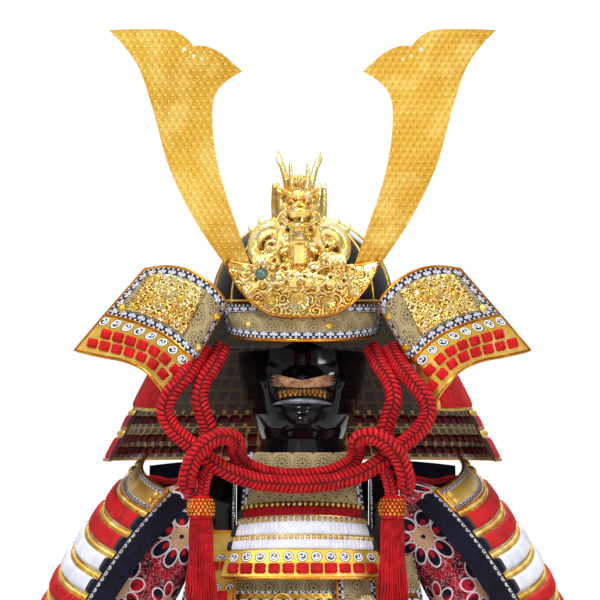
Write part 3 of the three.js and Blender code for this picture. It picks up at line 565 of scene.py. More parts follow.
weave = makeGroup("clothWeave", {"Vector": ("v", (0, 0, 0)), "Pitch": ("f", 0.8)}, {"Height": "f"}, buildWeave)


def buildPlait(g, s):  # stitches of four leaning columns; Vector is (stitches along, columns round)
    x, y, _ = g.split(s["Vector"])
    part = y.do("FRACT")
    odd = (y * 0.5).do("FRACT").do("GREATER_THAN", 0.499)
    away = (part - odd).abs()
    wave = ((x + away * value(g, s["Lean"]) + odd * 0.5) * math.pi).sin().abs().power(0.6)
    return {"Height": wave * (part * math.pi).sin().most(0.03).power(0.35)}


plait = makeGroup("plaitedCord", {"Vector": ("v", (0, 0, 0)), "Lean": ("f", 1.0)}, {"Height": "f"}, buildPlait)


def newMaterial(name, build, rough=0.4, metal=0.0, coat=0.0, sheen=0.0, ior=1.5):
    material = bpy.data.materials.new(name)
    material.use_nodes = True
    g = Graph(material.node_tree)
    shader = material.node_tree.nodes["Principled BSDF"]
    shader.inputs["Roughness"].default_value = rough
    shader.inputs["Metallic"].default_value = metal
    shader.inputs["Coat Weight"].default_value = coat
    shader.inputs["Coat Roughness"].default_value = 0.06
    shader.inputs["Sheen Weight"].default_value = sheen
    shader.inputs["Sheen Roughness"].default_value = 0.4
    shader.inputs["IOR"].default_value = ior
    uv = g.add("ShaderNodeUVMap", uv_map="place").outputs[0]
    spot = g.add("ShaderNodeTexCoord").outputs["Object"]
    build(g, shader, uv, spot)
    materials[name] = material
    return material


def bump(g, shader, height, strength, distance):
    node = g.add("ShaderNodeBump", {"Strength": strength, "Distance": distance * mm, "Height": height})
    g.feed(shader.inputs["Normal"], node.outputs[0])


def group(g, tree, inputs):
    node = g.tree.nodes.new("ShaderNodeGroup")
    node.node_tree = tree
    for key, item in inputs.items():
        g.feed(node.inputs[key], item)
    return node.outputs


golds = {
    "gold": {"dark": "c08e28", "light": "ecc04a", "worn": "fff0a0", "rough": 0.3, "metal": 0.75, "scale": 45, "grain": 900, "depth": 0.15},
    "rimGold": {"dark": "a8600f", "light": "d98a24", "worn": "f6bd55", "rough": 0.22, "metal": 0.9, "scale": 60, "grain": 600, "depth": 0.05},
    "castGold": {"dark": "efb944", "light": "fde68c", "worn": "fffce2", "rough": 0.16, "metal": 0.8, "scale": 120, "grain": 700, "depth": 0.2},
    "sheetGold": {"dark": "c0902a", "light": "e8bf50", "worn": "fbe08a", "rough": 0.34, "metal": 0.6, "scale": 40, "grain": 1200, "depth": 0.12},
    "hornGold": {"dark": "cc9628", "light": "e9b742", "worn": "fbdc7c", "rough": 0.36, "metal": 0.55, "scale": 30, "grain": 1500, "depth": 0.1},
}
for name, look in golds.items():

    def buildGold(g, shader, uv, spot, look=look, name=name):
        tone = group(g, wear, {"Vector": spot, "Scale": look["scale"], "Dark": rgb(look["dark"]), "Light": rgb(look["light"]), "Worn": rgb(look["worn"])})
        colour = tone["Color"]
        if name == "castGold":  # crevices are painted darker, as painted shade, and the mesh says where they are
            deep = g.add("ShaderNodeAttribute", attribute_name="crevice").outputs["Fac"]
            colour = g.mix(value(g, deep) * 0.9, colour, rgb("8a5208"))
        g.feed(shader.inputs["Base Color"], colour)
        height = g.noise(spot, look["grain"], 3.0)
        if name == "hornGold":
            hexes = group(g, scales, {"Vector": uv, "Pitch": 8.4})
            height = value(g, hexes["Height"]) * 3.0 + height * 0.3
        rough = g.smooth(g.noise(spot, look["scale"] * 4, 3.0), 0.3, 0.7) * 0.12 + (look["rough"] - 0.05)
        g.feed(shader.inputs["Roughness"], rough)
        bump(g, shader, height, 0.6 if name == "hornGold" else 0.4, look["depth"] * (4 if name == "hornGold" else 1))

    newMaterial(name, buildGold, metal=look["metal"])


def buildLacquer(g, shader, uv, spot):
    tone = group(g, wear, {"Vector": spot, "Scale": 30, "Dark": rgb("050507"), "Light": rgb("0c0b10"), "Worn": rgb("141216")})
    g.feed(shader.inputs["Base Color"], tone["Color"])
    bump(g, shader, g.noise(spot, 25, 2.0), 0.15, 0.6)


newMaterial("lacquer", buildLacquer, rough=0.12, coat=0.1, ior=1.3)


def buildLeather(g, shader, uv, spot):
    look = group(g, stencil, {"Vector": uv})
    g.feed(shader.inputs["Base Color"], look["Color"])
    bump(g, shader, g.noise(spot, 900, 4.0) - value(g, look["Mask"]) * 0.3, 0.35, 0.25)


newMaterial("leather", buildLeather, rough=0.68, sheen=0.15)


def buildTreeBand(g, shader, uv, spot):
    look = group(g, trees, {"Vector": uv})
    g.feed(shader.inputs["Base Color"], look["Color"])
    bump(g, shader, value(g, look["Mask"]) + g.noise(spot, 1500, 2.0) * 0.3, 0.4, 0.4)


newMaterial("treeBand", buildTreeBand, rough=0.6, sheen=0.1)


def buildRoundelBand(g, shader, uv, spot):
    look = group(g, roundels, {"Vector": uv})
    g.feed(shader.inputs["Base Color"], look["Color"])
    bump(g, shader, look["Mask"], 0.4, 0.5)


newMaterial("roundelBand", buildRoundelBand, rough=0.6, sheen=0.1)

silks = {
    "redSilk": {"dark": "96060e", "light": "c60c16", "worn": "dc2028"},
    "wineSilk": {"dark": "6c040c", "light": "9c0814", "worn": "b81420"},
    # deepRedSilk: a dark copy of the red silk for the knots inside the neck guard, painted shade
    "deepRedSilk": {"dark": "44060c", "light": "6a0912", "worn": "861420"},
    "whiteSilk": {"dark": "cccede", "light": "e4e6f0", "worn": "f2f3fa"},
    "tasselSilk": {"dark": "960610", "light": "c80c18", "worn": "e02630"},
    "navyCloth": {"dark": "070816", "light": "0e1124", "worn": "181d3c"},
    "ropeSilk": {"dark": "a60610", "light": "cc0c18", "worn": "ec3038"},
}
for name, look in silks.items():

    def buildSilk(g, shader, uv, spot, look=look, name=name):
        tone = group(g, wear, {"Vector": spot, "Scale": 120, "Dark": rgb(look["dark"]), "Light": rgb(look["light"]), "Worn": rgb(look["worn"])})
        colour, fibre = tone["Color"], g.noise(spot, 1600, 2.0)
        if name == "ropeSilk":
            stitch = value(g, group(g, plait, {"Vector": uv})["Height"])
            # the grooves between stitches are painted near-black red over the relief: painted shade
            g.feed(shader.inputs["Base Color"], g.mix(g.smooth(stitch, 0.2, 0.95), rgb("4a0208"), colour))
            bump(g, shader, stitch * 2.0 + fibre * 0.3, 0.6, 0.5)
            return
        g.feed(shader.inputs["Base Color"], colour)
        thread = group(g, weave, {"Vector": uv, "Pitch": 1.3})
        bump(g, shader, value(g, thread["Height"]) + fibre * 0.5, 0.45, 0.35)

    newMaterial(name, buildSilk, rough=0.7, sheen=0.03, ior=1.28)


def buildBrocade(g, shader, uv, spot):
    look = group(g, flowers, {"Vector": uv})
    g.feed(shader.inputs["Base Color"], look["Color"])
    thread = group(g, weave, {"Vector": uv, "Pitch": 0.9})
    bump(g, shader, value(g, thread["Height"]) * 0.6 + value(g, look["Mask"]), 0.5, 0.3)


newMaterial("brocade", buildBrocade, rough=0.7, sheen=0.03, ior=1.3)


def plainLook(name, dark, light, worn, rough, grain=90, **more):
    def build(g, shader, uv, spot):
        tone = group(g, wear, {"Vector": spot, "Scale": grain, "Dark": rgb(dark), "Light": rgb(light), "Worn": rgb(worn)})
        g.feed(shader.inputs["Base Color"], tone["Color"])
        bump(g, shader, g.noise(spot, 700, 3.0), 0.3, 0.3)

    newMaterial(name, build, rough=rough, **more)


def buildGrid(g, shader, uv, spot, gilt="b8944a"):  # lacing squares on gilt, seen inside the neck guard; the squares are painted far darker than the red silk outside and the gilt duller, as painted shade
    x, y, _ = g.split(uv)
    across, down = x.cell(15.5).abs().below(5.4, 0.6), y.cell(17.0).abs().below(6.0, 0.6)
    mask = across * down
    tone = group(g, wear, {"Vector": spot, "Scale": 60, "Dark": rgb("1a0306"), "Light": rgb("34060b"), "Worn": rgb("460e14")})
    g.feed(shader.inputs["Base Color"], g.mix(mask, rgb(gilt), tone["Color"]))
    g.feed(shader.inputs["Metallic"], (1 - mask) * 0.2)
    bump(g, shader, mask, 0.5, 1.2)


newMaterial("innerGrid", buildGrid, rough=0.5)
# innerShade: the same grid with much darker gilt, painted shade for the second neck plate's inside
newMaterial("innerShade", lambda *parts: buildGrid(*parts, gilt="4c3c1c"), rough=0.5)


def buildBigRoundels(g, shader, uv, spot):
    x, y, _ = g.split(uv)
    number = (x / 17.0 + 0.5).floor()
    look = group(g, roundels, {"Vector": g.add("ShaderNodeCombineXYZ", {0: x.cell(17.0), 1: y - 8.2, 2: number * 2.3}).outputs[0], "Pitch": 15.0, "Dark": rgb("0c0d14")})
    r = g.polar(x.cell(17.0), y - 8.2)[0]
    disc = r.below(6.6, 0.3)
    g.feed(shader.inputs["Base Color"], g.mix(disc, rgb("e9bd4a"), look["Color"]))
    g.feed(shader.inputs["Metallic"], 1 - disc)
    bump(g, shader, value(g, look["Mask"]) + disc, 0.5, 0.6)


newMaterial("bigRoundels", buildBigRoundels, rough=0.4)


def buildStamped(g, shader, uv, spot):
    tone = group(g, wear, {"Vector": spot, "Scale": 50, "Dark": rgb("b07a1c"), "Light": rgb("dca83a"), "Worn": rgb("f4cf6a")})
    g.feed(shader.inputs["Base Color"], tone["Color"])
    hexes = group(g, scales, {"Vector": uv, "Pitch": 9.0})
    bump(g, shader, value(g, hexes["Height"]) + g.noise(spot, 900, 2.0) * 0.1, 0.6, 0.7)


newMaterial("stampedGold", buildStamped, rough=0.34, metal=1.0)
plainLook("jewel", "2c4840", "4a6c60", "7c9a8c", 0.15, coat=0.6)
plainLook("bristle", "8a4a22", "d8a478", "f6dcc0", 0.8, grain=420)
# teeth: gilt painted a dull brown, partly painted shade inside the mouth
plainLook("teeth", "5e3610", "94621e", "c08a3a", 0.4, metal=0.3)
plainLook("lip", "3c3e48", "6c6e7a", "a8aab4", 0.4, metal=0.5)
# mouthRed: near-black red for the dragon's mouth cavity, painted shade
plainLook("mouthRed", "3a0608", "5c0d0e", "7a1616", 0.5)
# headShade: a dark ground behind the top row of scale heads, painted shade
plainLook("headShade", "1e1406", "3a270c", "5c4014", 0.5, metal=0.5)
plainLook("ivoryGold", "d8b878", "f2e2b0", "fffbe8", 0.35, metal=0.3)
# innerGold: nearly black gilt for the inside of the first neck plate, painted shade
plainLook("innerGold", "241b0a", "3e3012", "564222", 0.55, metal=0.4)
plainLook("innerCloth", "2a2018", "4a3a28", "5a4a34", 0.8)
print("materials made")

# chin cords
cordSize = {"diameter": 21, "centre": -7, "stitch": 5.6, "relief": 3.0, "lean": 1.0}
lowerCord = [
    (113, -86, 158), (122, -107, 141), (136, -126, 122), (151, -135, 103), (157, -136, 84), (150, -138, 66),
    (134, -142, 50), (117, -147, 37), (100, -149, 23), (76, -148, 9), (48, -142.5, 0), (22, -140.8, -3), (0, -140.4, -4),
]
upperCord = [
    (90, -78, 158), (99, -97, 139), (112, -113, 118), (116, -120, 97), (110, -121, 76), (105, -122, 57),
    (114, -124, 39), (126, -125, 21), (131, -134, 3), (130, -151, -4), (129, -166, 10), (120, -171, 31),
    (105, -171, 47), (87, -165, 54), (73, -152, 49), (72, -137, 37), (66, -127, 23), (45, -122.5, 11),
    (20, -121.3, 6), (0, -120.8, 5),
]


def bothSides(half, centre=0.0):
    half = np.asarray(half, float)
    right = half * (-1, 1, 1) + (centre, 0, 0)
    left = (half * (1, 1, 1) + (centre, 0, 0))[:-1][::-1]
    return np.vstack([right, left])


def plaitedTube(points, radius, sides, stitch, relief):  # four columns of leaning stitches round a cord, with a seam to the front
    _, across, over = framesAlong(np.asarray(points, float))
    line, front = runOf(points), np.unwrap(np.arctan2(-over[:, 1], -across[:, 1]))
    front = np.convolve(np.pad(front, 6, "edge"), np.ones(13) / 13, "valid")

    def columnOf(run, turn):
        return (turn - np.interp(run, line, front)) / (math.pi / 2)

    def rise(run, turn):
        column = columnOf(run, turn)
        part, odd = column - np.floor(column), np.floor(column) % 2
        wave = np.abs(np.sin(math.pi * (run / stitch + np.abs(part - odd) * cordSize["lean"] + odd * 0.5))) ** 0.6
        return relief * (wave * np.maximum(np.sin(math.pi * part), 0.03) ** 0.35 - 0.6)

    part = tube(points, radius, sides, "ropeSilk", rise)
    turn = part.uv[..., 1] * 2 * math.pi / part.uv[..., 1].max()
    part.uv = np.stack([part.uv[..., 0] / stitch, columnOf(part.uv[..., 0], turn) + 40], -1)
    return part


cords = {}
for name, half in (("chin_cord_lower", lowerCord), ("chin_cord_upper", upperCord)):
    route = bothSides(half, cordSize["centre"])
    points, run = evenly(smoothLine(route), 1.3)
    part = plaitedTube(points, cordSize["diameter"] / 2, 36, cordSize["stitch"], cordSize["relief"])
    made = piece(name + "_plait", [part], "red_silk", name, smoothAngle=180)
    cords[name] = (made, [tuple(p * mm) for p in points[:-5:10]] + [tuple(points[-1] * mm)], float(run[-1]) * mm)
print("cords made")


# trees that repeat a shape or follow a line
def makeTree(name, inputs, build):
    tree = bpy.data.node_groups.new(name, "GeometryNodeTree")
    for label, (kind, start) in {"Geometry": ("NodeSocketGeometry", None), **inputs}.items():
        socket = tree.interface.new_socket(label, in_out="INPUT", socket_type=kind)
        if start is not None:
            socket.default_value = start
    tree.interface.new_socket("Geometry", in_out="OUTPUT", socket_type="NodeSocketGeometry")
    graph = Graph(tree)
    source = tree.nodes.new("NodeGroupInput")
    ends = {s.name: s for s in source.outputs if s.name}
    solid = graph.add("GeometryNodeRealizeInstances", {0: build(graph, ends)})
    painted = graph.add("GeometryNodeSetMaterial", {"Geometry": solid.outputs[0], "Material": ends["Material"]})
    smoothed = graph.add("GeometryNodeSetShadeSmooth", {0: painted.outputs[0]})
    sink = tree.nodes.new("NodeGroupOutput")
    tree.links.new(smoothed.outputs[0], sink.inputs[0])
    return tree


def buildSetOut(g, s):
    def named(label, kind):
        node = g.tree.nodes.new("GeometryNodeInputNamedAttribute")
        node.data_type = kind
        node.inputs["Name"].default_value = label
        return node.outputs[0]

    turned = g.add("FunctionNodeAxesToRotation", primary_axis="Z", secondary_axis="X")
    g.feed(turned.inputs[0], named("out", "FLOAT_VECTOR"))
    g.feed(turned.inputs[1], named("along", "FLOAT_VECTOR"))
    shape = g.add("GeometryNodeObjectInfo", {"Object": s["Shape"]})
    wobble = Value(g, s["Wobble"])
    vary = g.add("FunctionNodeRandomValue", data_type="FLOAT")
    floats = [socket for socket in vary.inputs if socket.type == "VALUE"]
    g.feed(floats[0], 1 - wobble)
    g.feed(floats[1], 1 + wobble)
    g.feed(vary.inputs["Seed"], s["Seed"])
    size = Value(g, named("size", "FLOAT")) * s["Size"] * [o for o in vary.outputs if o.type == "VALUE"][0]
    put = g.add("GeometryNodeInstanceOnPoints", {"Points": s["Geometry"], "Instance": shape.outputs["Geometry"], "Rotation": turned.outputs[0], "Scale": size})
    return put.outputs[0]


setOut = makeTree(
    "setOut",
    {
        "Shape": ("NodeSocketObject", None),
        "Size": ("NodeSocketFloat", 1.0),
        "Wobble": ("NodeSocketFloat", 0.04),
        "Seed": ("NodeSocketInt", 5),
        "Material": ("NodeSocketMaterial", None),
    },
    buildSetOut,
)


def buildRoll(g, s):
    line = g.add("GeometryNodeMeshToCurve", {"Mesh": s["Geometry"]})
    ring = g.add("GeometryNodeCurvePrimitiveCircle", {"Resolution": s["Sides"], "Radius": s["Radius"]})
    rolled = g.add("GeometryNodeCurveToMesh", {"Curve": line.outputs[0], "Profile Curve": ring.outputs[0], "Fill Caps": True})
    return rolled.outputs[0]


rollAlong = makeTree(
    "rollAlong",
    {"Radius": ("NodeSocketFloat", 0.0018), "Sides": ("NodeSocketInt", 8), "Material": ("NodeSocketMaterial", None)},
    buildRoll,
)


def runTree(name, mesh, tree, inputs):  # runs a tree on a mesh and gives the result as a plain mesh
    holder = bpy.data.objects.new(name + "Source", mesh)
    bpy.context.scene.collection.objects.link(holder)
    modifier = holder.modifiers.new(tree.name, "NODES")
    modifier.node_group = tree
    for item in tree.interface.items_tree:
        if item.item_type == "SOCKET" and item.in_out == "INPUT" and item.name in inputs:
            modifier[item.identifier] = inputs[item.name]
    bpy.context.view_layer.update()
    graph = bpy.context.evaluated_depsgraph_get()
    result = bpy.data.meshes.new_from_object(holder.evaluated_get(graph), depsgraph=graph)
    bpy.data.objects.remove(holder)
    result.name = name
    return result


def show(name, mesh, slotName, *replaced):
    made = bpy.data.objects.new(name, mesh)
    bpy.context.scene.collection.objects.link(made)
    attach(made, "root")
    if replaced:
        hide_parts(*replaced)
    return made


def scatter(name, slotName, shape, rows, paint, size=1.0, wobble=0.04, seed=5, replaced=()):  # sets a shape on rows of (place, outward, along, size)
    places, outs, alongs, sizes = (np.concatenate([np.atleast_2d(r[k]) if k < 3 else np.atleast_1d(r[k]) for r in rows]) for k in range(4))
    mesh = bpy.data.meshes.new(name + "Places")
    mesh.from_pydata((places * mm).tolist(), [], [])
    for label, data in (("out", outs), ("along", alongs)):
        mesh.attributes.new(label, "FLOAT_VECTOR", "POINT").data.foreach_set("vector", np.asarray(data, float).ravel())
    mesh.attributes.new("size", "FLOAT", "POINT").data.foreach_set("value", np.asarray(sizes, float))
    inputs = {"Shape": shape, "Size": float(size), "Wobble": float(wobble), "Seed": seed, "Material": materials[paint]}
    return show(name, runTree(name, mesh, setOut, inputs), slotName, *replaced)


def rolled(name, slotName, lines, radius, paint, sides=8, replaced=()):  # rolls a round edge along each line; a line ending where it starts is closed
    points, edges = [], []
    for line in lines:
        closed = np.linalg.norm(line[0] - line[-1]) < 1e-3
        line = line[:-1] if closed else line
        first = len(points)
        points += (np.asarray(line) * mm).tolist()
        edges += [(first + k, first + k + 1) for k in range(len(line) - 1)]
        if closed:
            edges.append((first + len(line) - 1, first))
    mesh = bpy.data.meshes.new(name + "Lines")
    mesh.from_pydata(points, edges, [])
    inputs = {"Radius": radius * mm, "Sides": sides, "Material": materials[paint]}
    return show(name, runTree(name, mesh, rollAlong, inputs), slotName, *replaced)


def shapeObject(name, part):
    mesh = bpy.data.meshes.new(name)
    mesh.from_pydata((part.points * mm).tolist(), [], [f[:3] if f[2] == f[3] else f for f in part.faces.tolist()])
    made = bpy.data.objects.new(name, mesh)
    bpy.context.scene.collection.objects.link(made)
    shapes.append(made)
    return made


def dome(profile, segments, wave=None, stretch=(1, 1)):  # a closed button: profile is (radius, height) from its foot to its top; wave shapes its outline by angle
    turn = np.arange(segments) * 2 * math.pi / segments
    shapeOf = np.ones(segments) if wave is None else wave(turn)
    rings = []
    for r, z in [(profile[0][0], -0.3)] + list(profile[:-1]):
        rings.append(np.stack([r * shapeOf * np.cos(turn) * stretch[0], r * shapeOf * np.sin(turn) * stretch[1], np.full(segments, z)], 1))
    count = len(rings)
    points = np.concatenate(rings + [[[0, 0, profile[-1][1]], [0, 0, -0.3]]])
    faces = []
    for k in range(count - 1):
        for j in range(segments):
            n = (j + 1) % segments
            faces.append([k * segments + j, k * segments + n, (k + 1) * segments + n, (k + 1) * segments + j])
    for j in range(segments):
        n = (j + 1) % segments
        faces.append([(count - 1) * segments + j, (count - 1) * segments + n, count * segments, count * segments])
        faces.append([n, j, count * segments + 1, count * segments + 1])
    return Part(points, faces, np.zeros((len(faces), 4, 2)), "gold")


shapes = []
shapeOf = {
    "head": shapeObject("headShape", dome([(3.1, 0.6), (2.2, 1.9), (0, 2.4)], 6, stretch=(0.92, 1.25))),
    "knot": shapeObject("knotShape", dome([(7.7, 0.7), (7.2, 2.4), (4.4, 3.5), (0, 3.5)], 16, lambda a: 1 + 0.16 * np.cos(4 * a - math.pi), stretch=(1, 0.86))),
    "flower": shapeObject("flowerShape", dome([(5.4, 0), (5.4, 0.8), (3.4, 1.6), (2.6, 1.4), (2.2, 2.8), (0, 3.8)], 16, lambda a: 1 + 0.09 * np.cos(8 * a))),
    "bead": shapeObject("beadShape", dome([(5.2, 0.8), (4.0, 2.6), (0, 3.7)], 8)),
    "button": shapeObject("buttonShape", dome([(5.2, 0), (5.1, 1.2), (4.0, 2.6), (2.2, 3.4), (0, 3.7)], 14)),
}
print("shapes and trees made")


# tassels, tied to the lower cord
tassel = {"out": 114, "y": -150, "headZ": -31, "head": 15, "cord": 7.5, "top": 16, "strandTop": -38, "strandEnd": -182, "rings": 7}
strandLine = np.array([(1.1 * math.sin(0.09 * z), 0.9 * math.cos(0.07 * z), -z) for z in range(0, 146, 18)], float)
shapeOf["strand"] = shapeObject("strandShape", tube(strandLine, np.linspace(1.3, 1.0, len(strandLine)), 3))


def tasselHead(middle, start, bend):
    cordPoints, _ = evenly(smoothLine([start, bend, middle]), 1.2)
    cord = plaitedTube(cordPoints, tassel["cord"], 24, 4.6, 1.2)
    profile = [(6, 15), (12, 12), (15.5, 5), (16, -3), (14.5, -10), (13, -14)]
    line = np.array([(0, 0, z) for _, z in profile], float) + middle
    band = tube(np.array([(0, 0, z) for z in (-3, -8, -12)], float) + middle, [14.8, 15.2, 14.6], 30, "tasselSilk")
    return [cord, tube(line, [r for r, _ in profile], 28, "tasselSilk"), band]


tassels = {}
netRows, strandRows = [], []
for hand, side in (("left", 1), ("right", -1)):
    middle = np.array([cordSize["centre"] + side * tassel["out"], tassel["y"], tassel["headZ"]], float)
    start = np.array([cordSize["centre"] + side * 104, -148, tassel["top"]], float)
    bend = np.array([cordSize["centre"] + side * 110, -150, -2], float)
    tassels[hand] = piece(f"tassel_{hand}_head", tasselHead(middle, start, bend), "red_silk", smoothAngle=180)
    for ring in range(5):
        turns = np.arange(18) / 18 * 2 * math.pi + (ring % 2) * math.pi / 18
        z = 9 - ring * 4.2
        r = np.interp(z, [-10, -3, 5, 12], [14.8, 16.1, 15.6, 12.2])
        outs = stack(np.cos(turns), np.sin(turns), 0.25 * (z / 10) + 0 * turns)
        netRows.append((middle + stack(r * np.cos(turns), r * np.sin(turns), z + 0 * turns), outs, stack(-np.sin(turns), np.cos(turns), 0 * turns), np.full(18, 0.42)))
    places, outs, alongs, sizes = [], [], [], []
    count = 190
    for k in range(count):
        r, turn = math.sqrt((k + 0.5) / count), k * 2.39996
        foot = middle + (12 * r * math.cos(turn), 12 * r * math.sin(turn), tassel["strandTop"] - tassel["headZ"])
        lean = np.array([0.062 * r * math.cos(turn), 0.062 * r * math.sin(turn), 1.0]) * (-1, -1, 1)
        places.append(foot)
        outs.append(lean)
        alongs.append((math.cos(3 * turn), math.sin(3 * turn), 0))
        sizes.append(0.96 + 0.05 * math.sin(2.3 * k))
    strandRows.append((np.array(places), unit(np.array(outs)), np.array(alongs), np.array(sizes)))
for k, (hand, rows) in enumerate(zip(("left", "right"), strandRows)):
    strands = scatter(f"tassel_{hand}_strands", "red_silk", shapeOf["strand"], [rows], "tasselSilk", 1.0, 0.015, 11 + k)
    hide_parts(f"tassel_{hand}")
    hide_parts(f"tassel_{hand}")
    tassels[hand] = (tassels[hand], strands)
nets = scatter("tassel_nets", "gilt", shapeOf["bead"], netRows, "rimGold", 1.0, 0.1)

lower, path, length = cords["chin_cord_lower"]
upper, path, length = cords["chin_cord_upper"]
print("cords and tassels made")


# helmet bowl
bowl = {"halfWidth": 108, "halfDepth": 122, "rim": 212, "height": 106, "ribs": 14, "topLift": 82.5}


def bowlSheet(u, v):
    turn, lift = 2 * math.pi * u, np.radians(v * bowl["topLift"])
    x = bowl["halfWidth"] * np.cos(lift) * np.sin(turn)
    return stack(x, -bowl["halfDepth"] * np.cos(lift) * np.cos(turn), bowl["rim"] + bowl["height"] * np.sin(lift))


def even(count, low=0.0, high=1.0):
    return np.linspace(low, high, count)


bowlShell = shell(bowlSheet, even(141), even(26), lambda s, t, u, v: 1.4 * np.abs(np.sin(math.pi * bowl["ribs"] * u)) ** 0.5 * (1 - v * 0.8), ring=True, paint="lacquer")
piece("helmet_bowl_plates", [bowlShell], "black_lacquer", "helmet_bowl")
ribs = [bowlSheet(np.full(24, k / bowl["ribs"]), even(24)) + normalOf(bowlSheet, np.full(24, k / bowl["ribs"]), even(24), 1, True) * 0.4 for k in range(bowl["ribs"])]
ribs.append(bowlSheet(even(97), np.full(97, 0.02)) * (1.006, 1.006, 1))
rolled("helmet_ribs", "gilt", ribs, 1.5, "gold")
crown = [(0.2, 0), (20, 0.2), (22, 1.6), (21.5, 3), (15, 6), (12, 8), (13.4, 10), (13, 12), (8, 16), (0.2, 17)]
top = bowl["rim"] + bowl["height"] * math.sin(math.radians(bowl["topLift"])) + 1.3
piece("crown_ring", [tube(np.array([(0, 0, top + z) for _, z in crown], float), [r for r, _ in crown], 40, "castGold")], "gilt", "crown_ornament")


# borders laid on a sheet: a frame between two turns and two heights
def framePath(sheet, u0, u1, v0, v1, corner=0.0, step=90):
    t = even(step)
    us = np.concatenate([lerp(u0, u1, t), np.full(step, u1), lerp(u1, u0, t), np.full(step, u0)])
    vs = np.concatenate([np.full(step, v0), lerp(v0, v1, t), np.full(step, v1), lerp(v1, v0, t)])
    keep = np.concatenate([[True], (np.abs(np.diff(us)) + np.abs(np.diff(vs))) > 1e-9])
    return us[keep], vs[keep]


def onSheet(sheet, us, vs, lift, side):
    return sheet(us, vs) + normalOf(sheet, np.asarray(us, float), np.asarray(vs, float), side) * lift


def frameBand(sheet, u0, u1, v0, v1, width, lift, side, paint, sides="tblr"):  # a woven band inside a frame's edge
    us, vs = framePath(sheet, u0, u1, v0, v1)
    e = 1e-3
    alongU = np.linalg.norm(sheet(np.clip(us + e, 0, 1), vs) - sheet(np.clip(us - e, 0, 1), vs), axis=-1) / (np.clip(us + e, 0, 1) - np.clip(us - e, 0, 1))
    alongV = np.linalg.norm(sheet(us, np.clip(vs + e, 0, 1)) - sheet(us, np.clip(vs - e, 0, 1)), axis=-1) / (np.clip(vs + e, 0, 1) - np.clip(vs - e, 0, 1))
    rows = []
    for share in (0, 0.5, 1):
        du, dv = width * share / alongU, width * share / alongV
        rows.append(onSheet(sheet, np.clip(us, u0 + du, u1 - du), np.clip(vs, v0 + dv, v1 - dv), lift, side))
    rows = np.stack(rows, 1)
    count = len(us)
    run = runOf(rows[:, 0])
    normals = normalOf(sheet, us, vs, side)[:, None]
    points = np.concatenate([rows.reshape(-1, 3), (rows - normals * (lift + 0.4)).reshape(-1, 3)])
    number = np.arange(count * 3).reshape(count, 3)
    i, j = [a.ravel() for a in np.meshgrid(np.arange(count - 1), np.arange(2), indexing="ij")]
    faces = np.stack([number[i, j], number[i + 1, j], number[i + 1, j + 1], number[i, j + 1]], 1)
    uv = np.stack([np.stack([run[a], b * width / 2], -1) for a, b in ((i, j), (i + 1, j), (i + 1, j + 1), (i, j + 1))], 1)
    k = np.arange(count - 1)
    outerWall = np.stack([number[k + 1, 0], number[k, 0], number[k, 0] + count * 3, number[k + 1, 0] + count * 3], 1)
    innerWall = np.stack([number[k, 2], number[k + 1, 2], number[k + 1, 2] + count * 3, number[k, 2] + count * 3], 1)
    faces = np.concatenate([faces, faces[:, ::-1] + count * 3, outerWall, innerWall])
    uv = np.concatenate([uv, uv[:, ::-1], np.zeros((2 * len(k), 4, 2))])
    return Part(points, faces, uv, paint)


def frameLine(sheet, u0, u1, v0, v1, lift, side):
    us, vs = framePath(sheet, u0, u1, v0, v1, step=40)
    line = onSheet(sheet, us, vs, lift, side)
    return np.vstack([line, line[:1]])


# visor
visor = {"spread": 62, "rootOut": 107.5, "rootFront": 121.5, "root": 211.65, "edgeOut": 104, "edgeFront": 160, "edge": 169}


def visorSheet(u, v):
    turn = np.radians(lerp(-visor["spread"], visor["spread"], u))
    out, front = lerp(visor["rootOut"], visor["edgeOut"], v), lerp(visor["rootFront"], visor["edgeFront"], v)
    z = lerp(visor["root"], visor["edge"], v) + 8 * v * np.abs(2 * u - 1) ** 3
    return stack(out * np.sin(turn), -front * np.cos(turn), z)


visorParts = [shell(visorSheet, even(73), even(10), side=-1, paint="leather", back="lacquer", edge="rimGold")]
visorParts.append(frameBand(visorSheet, 0.004, 0.996, 0.02, 0.985, 11.5, 0.5, -1, "treeBand"))
piece("visor_leather", visorParts, "stencilled_leather", "visor")
rims = [frameLine(visorSheet, 0.0, 1.0, 0.0, 1.0, -1.2, -1)]
studRows, headRows, knotRows, shadedKnotRows, buttonRows = [], [], [], [], []


def place(sheet, u, v, lift, side, size=1.0):  # a row for scatter on a sheet
    u, v = np.atleast_1d(np.asarray(u, float)), np.atleast_1d(np.asarray(v, float))
    u, v = np.broadcast_arrays(u, v)
    u, v = u.astype(float), v.astype(float)
    along = unit(sheet(np.clip(u + 1e-3, 0, 1), v) - sheet(np.clip(u - 1e-3, 0, 1), v))
    return onSheet(sheet, u, v, lift, side), normalOf(sheet, u, v, side), along, np.full(len(u), size)


studRows.append(place(visorSheet, [0.19, 0.64], [0.62, 0.62], 0.2, -1, 0.85))


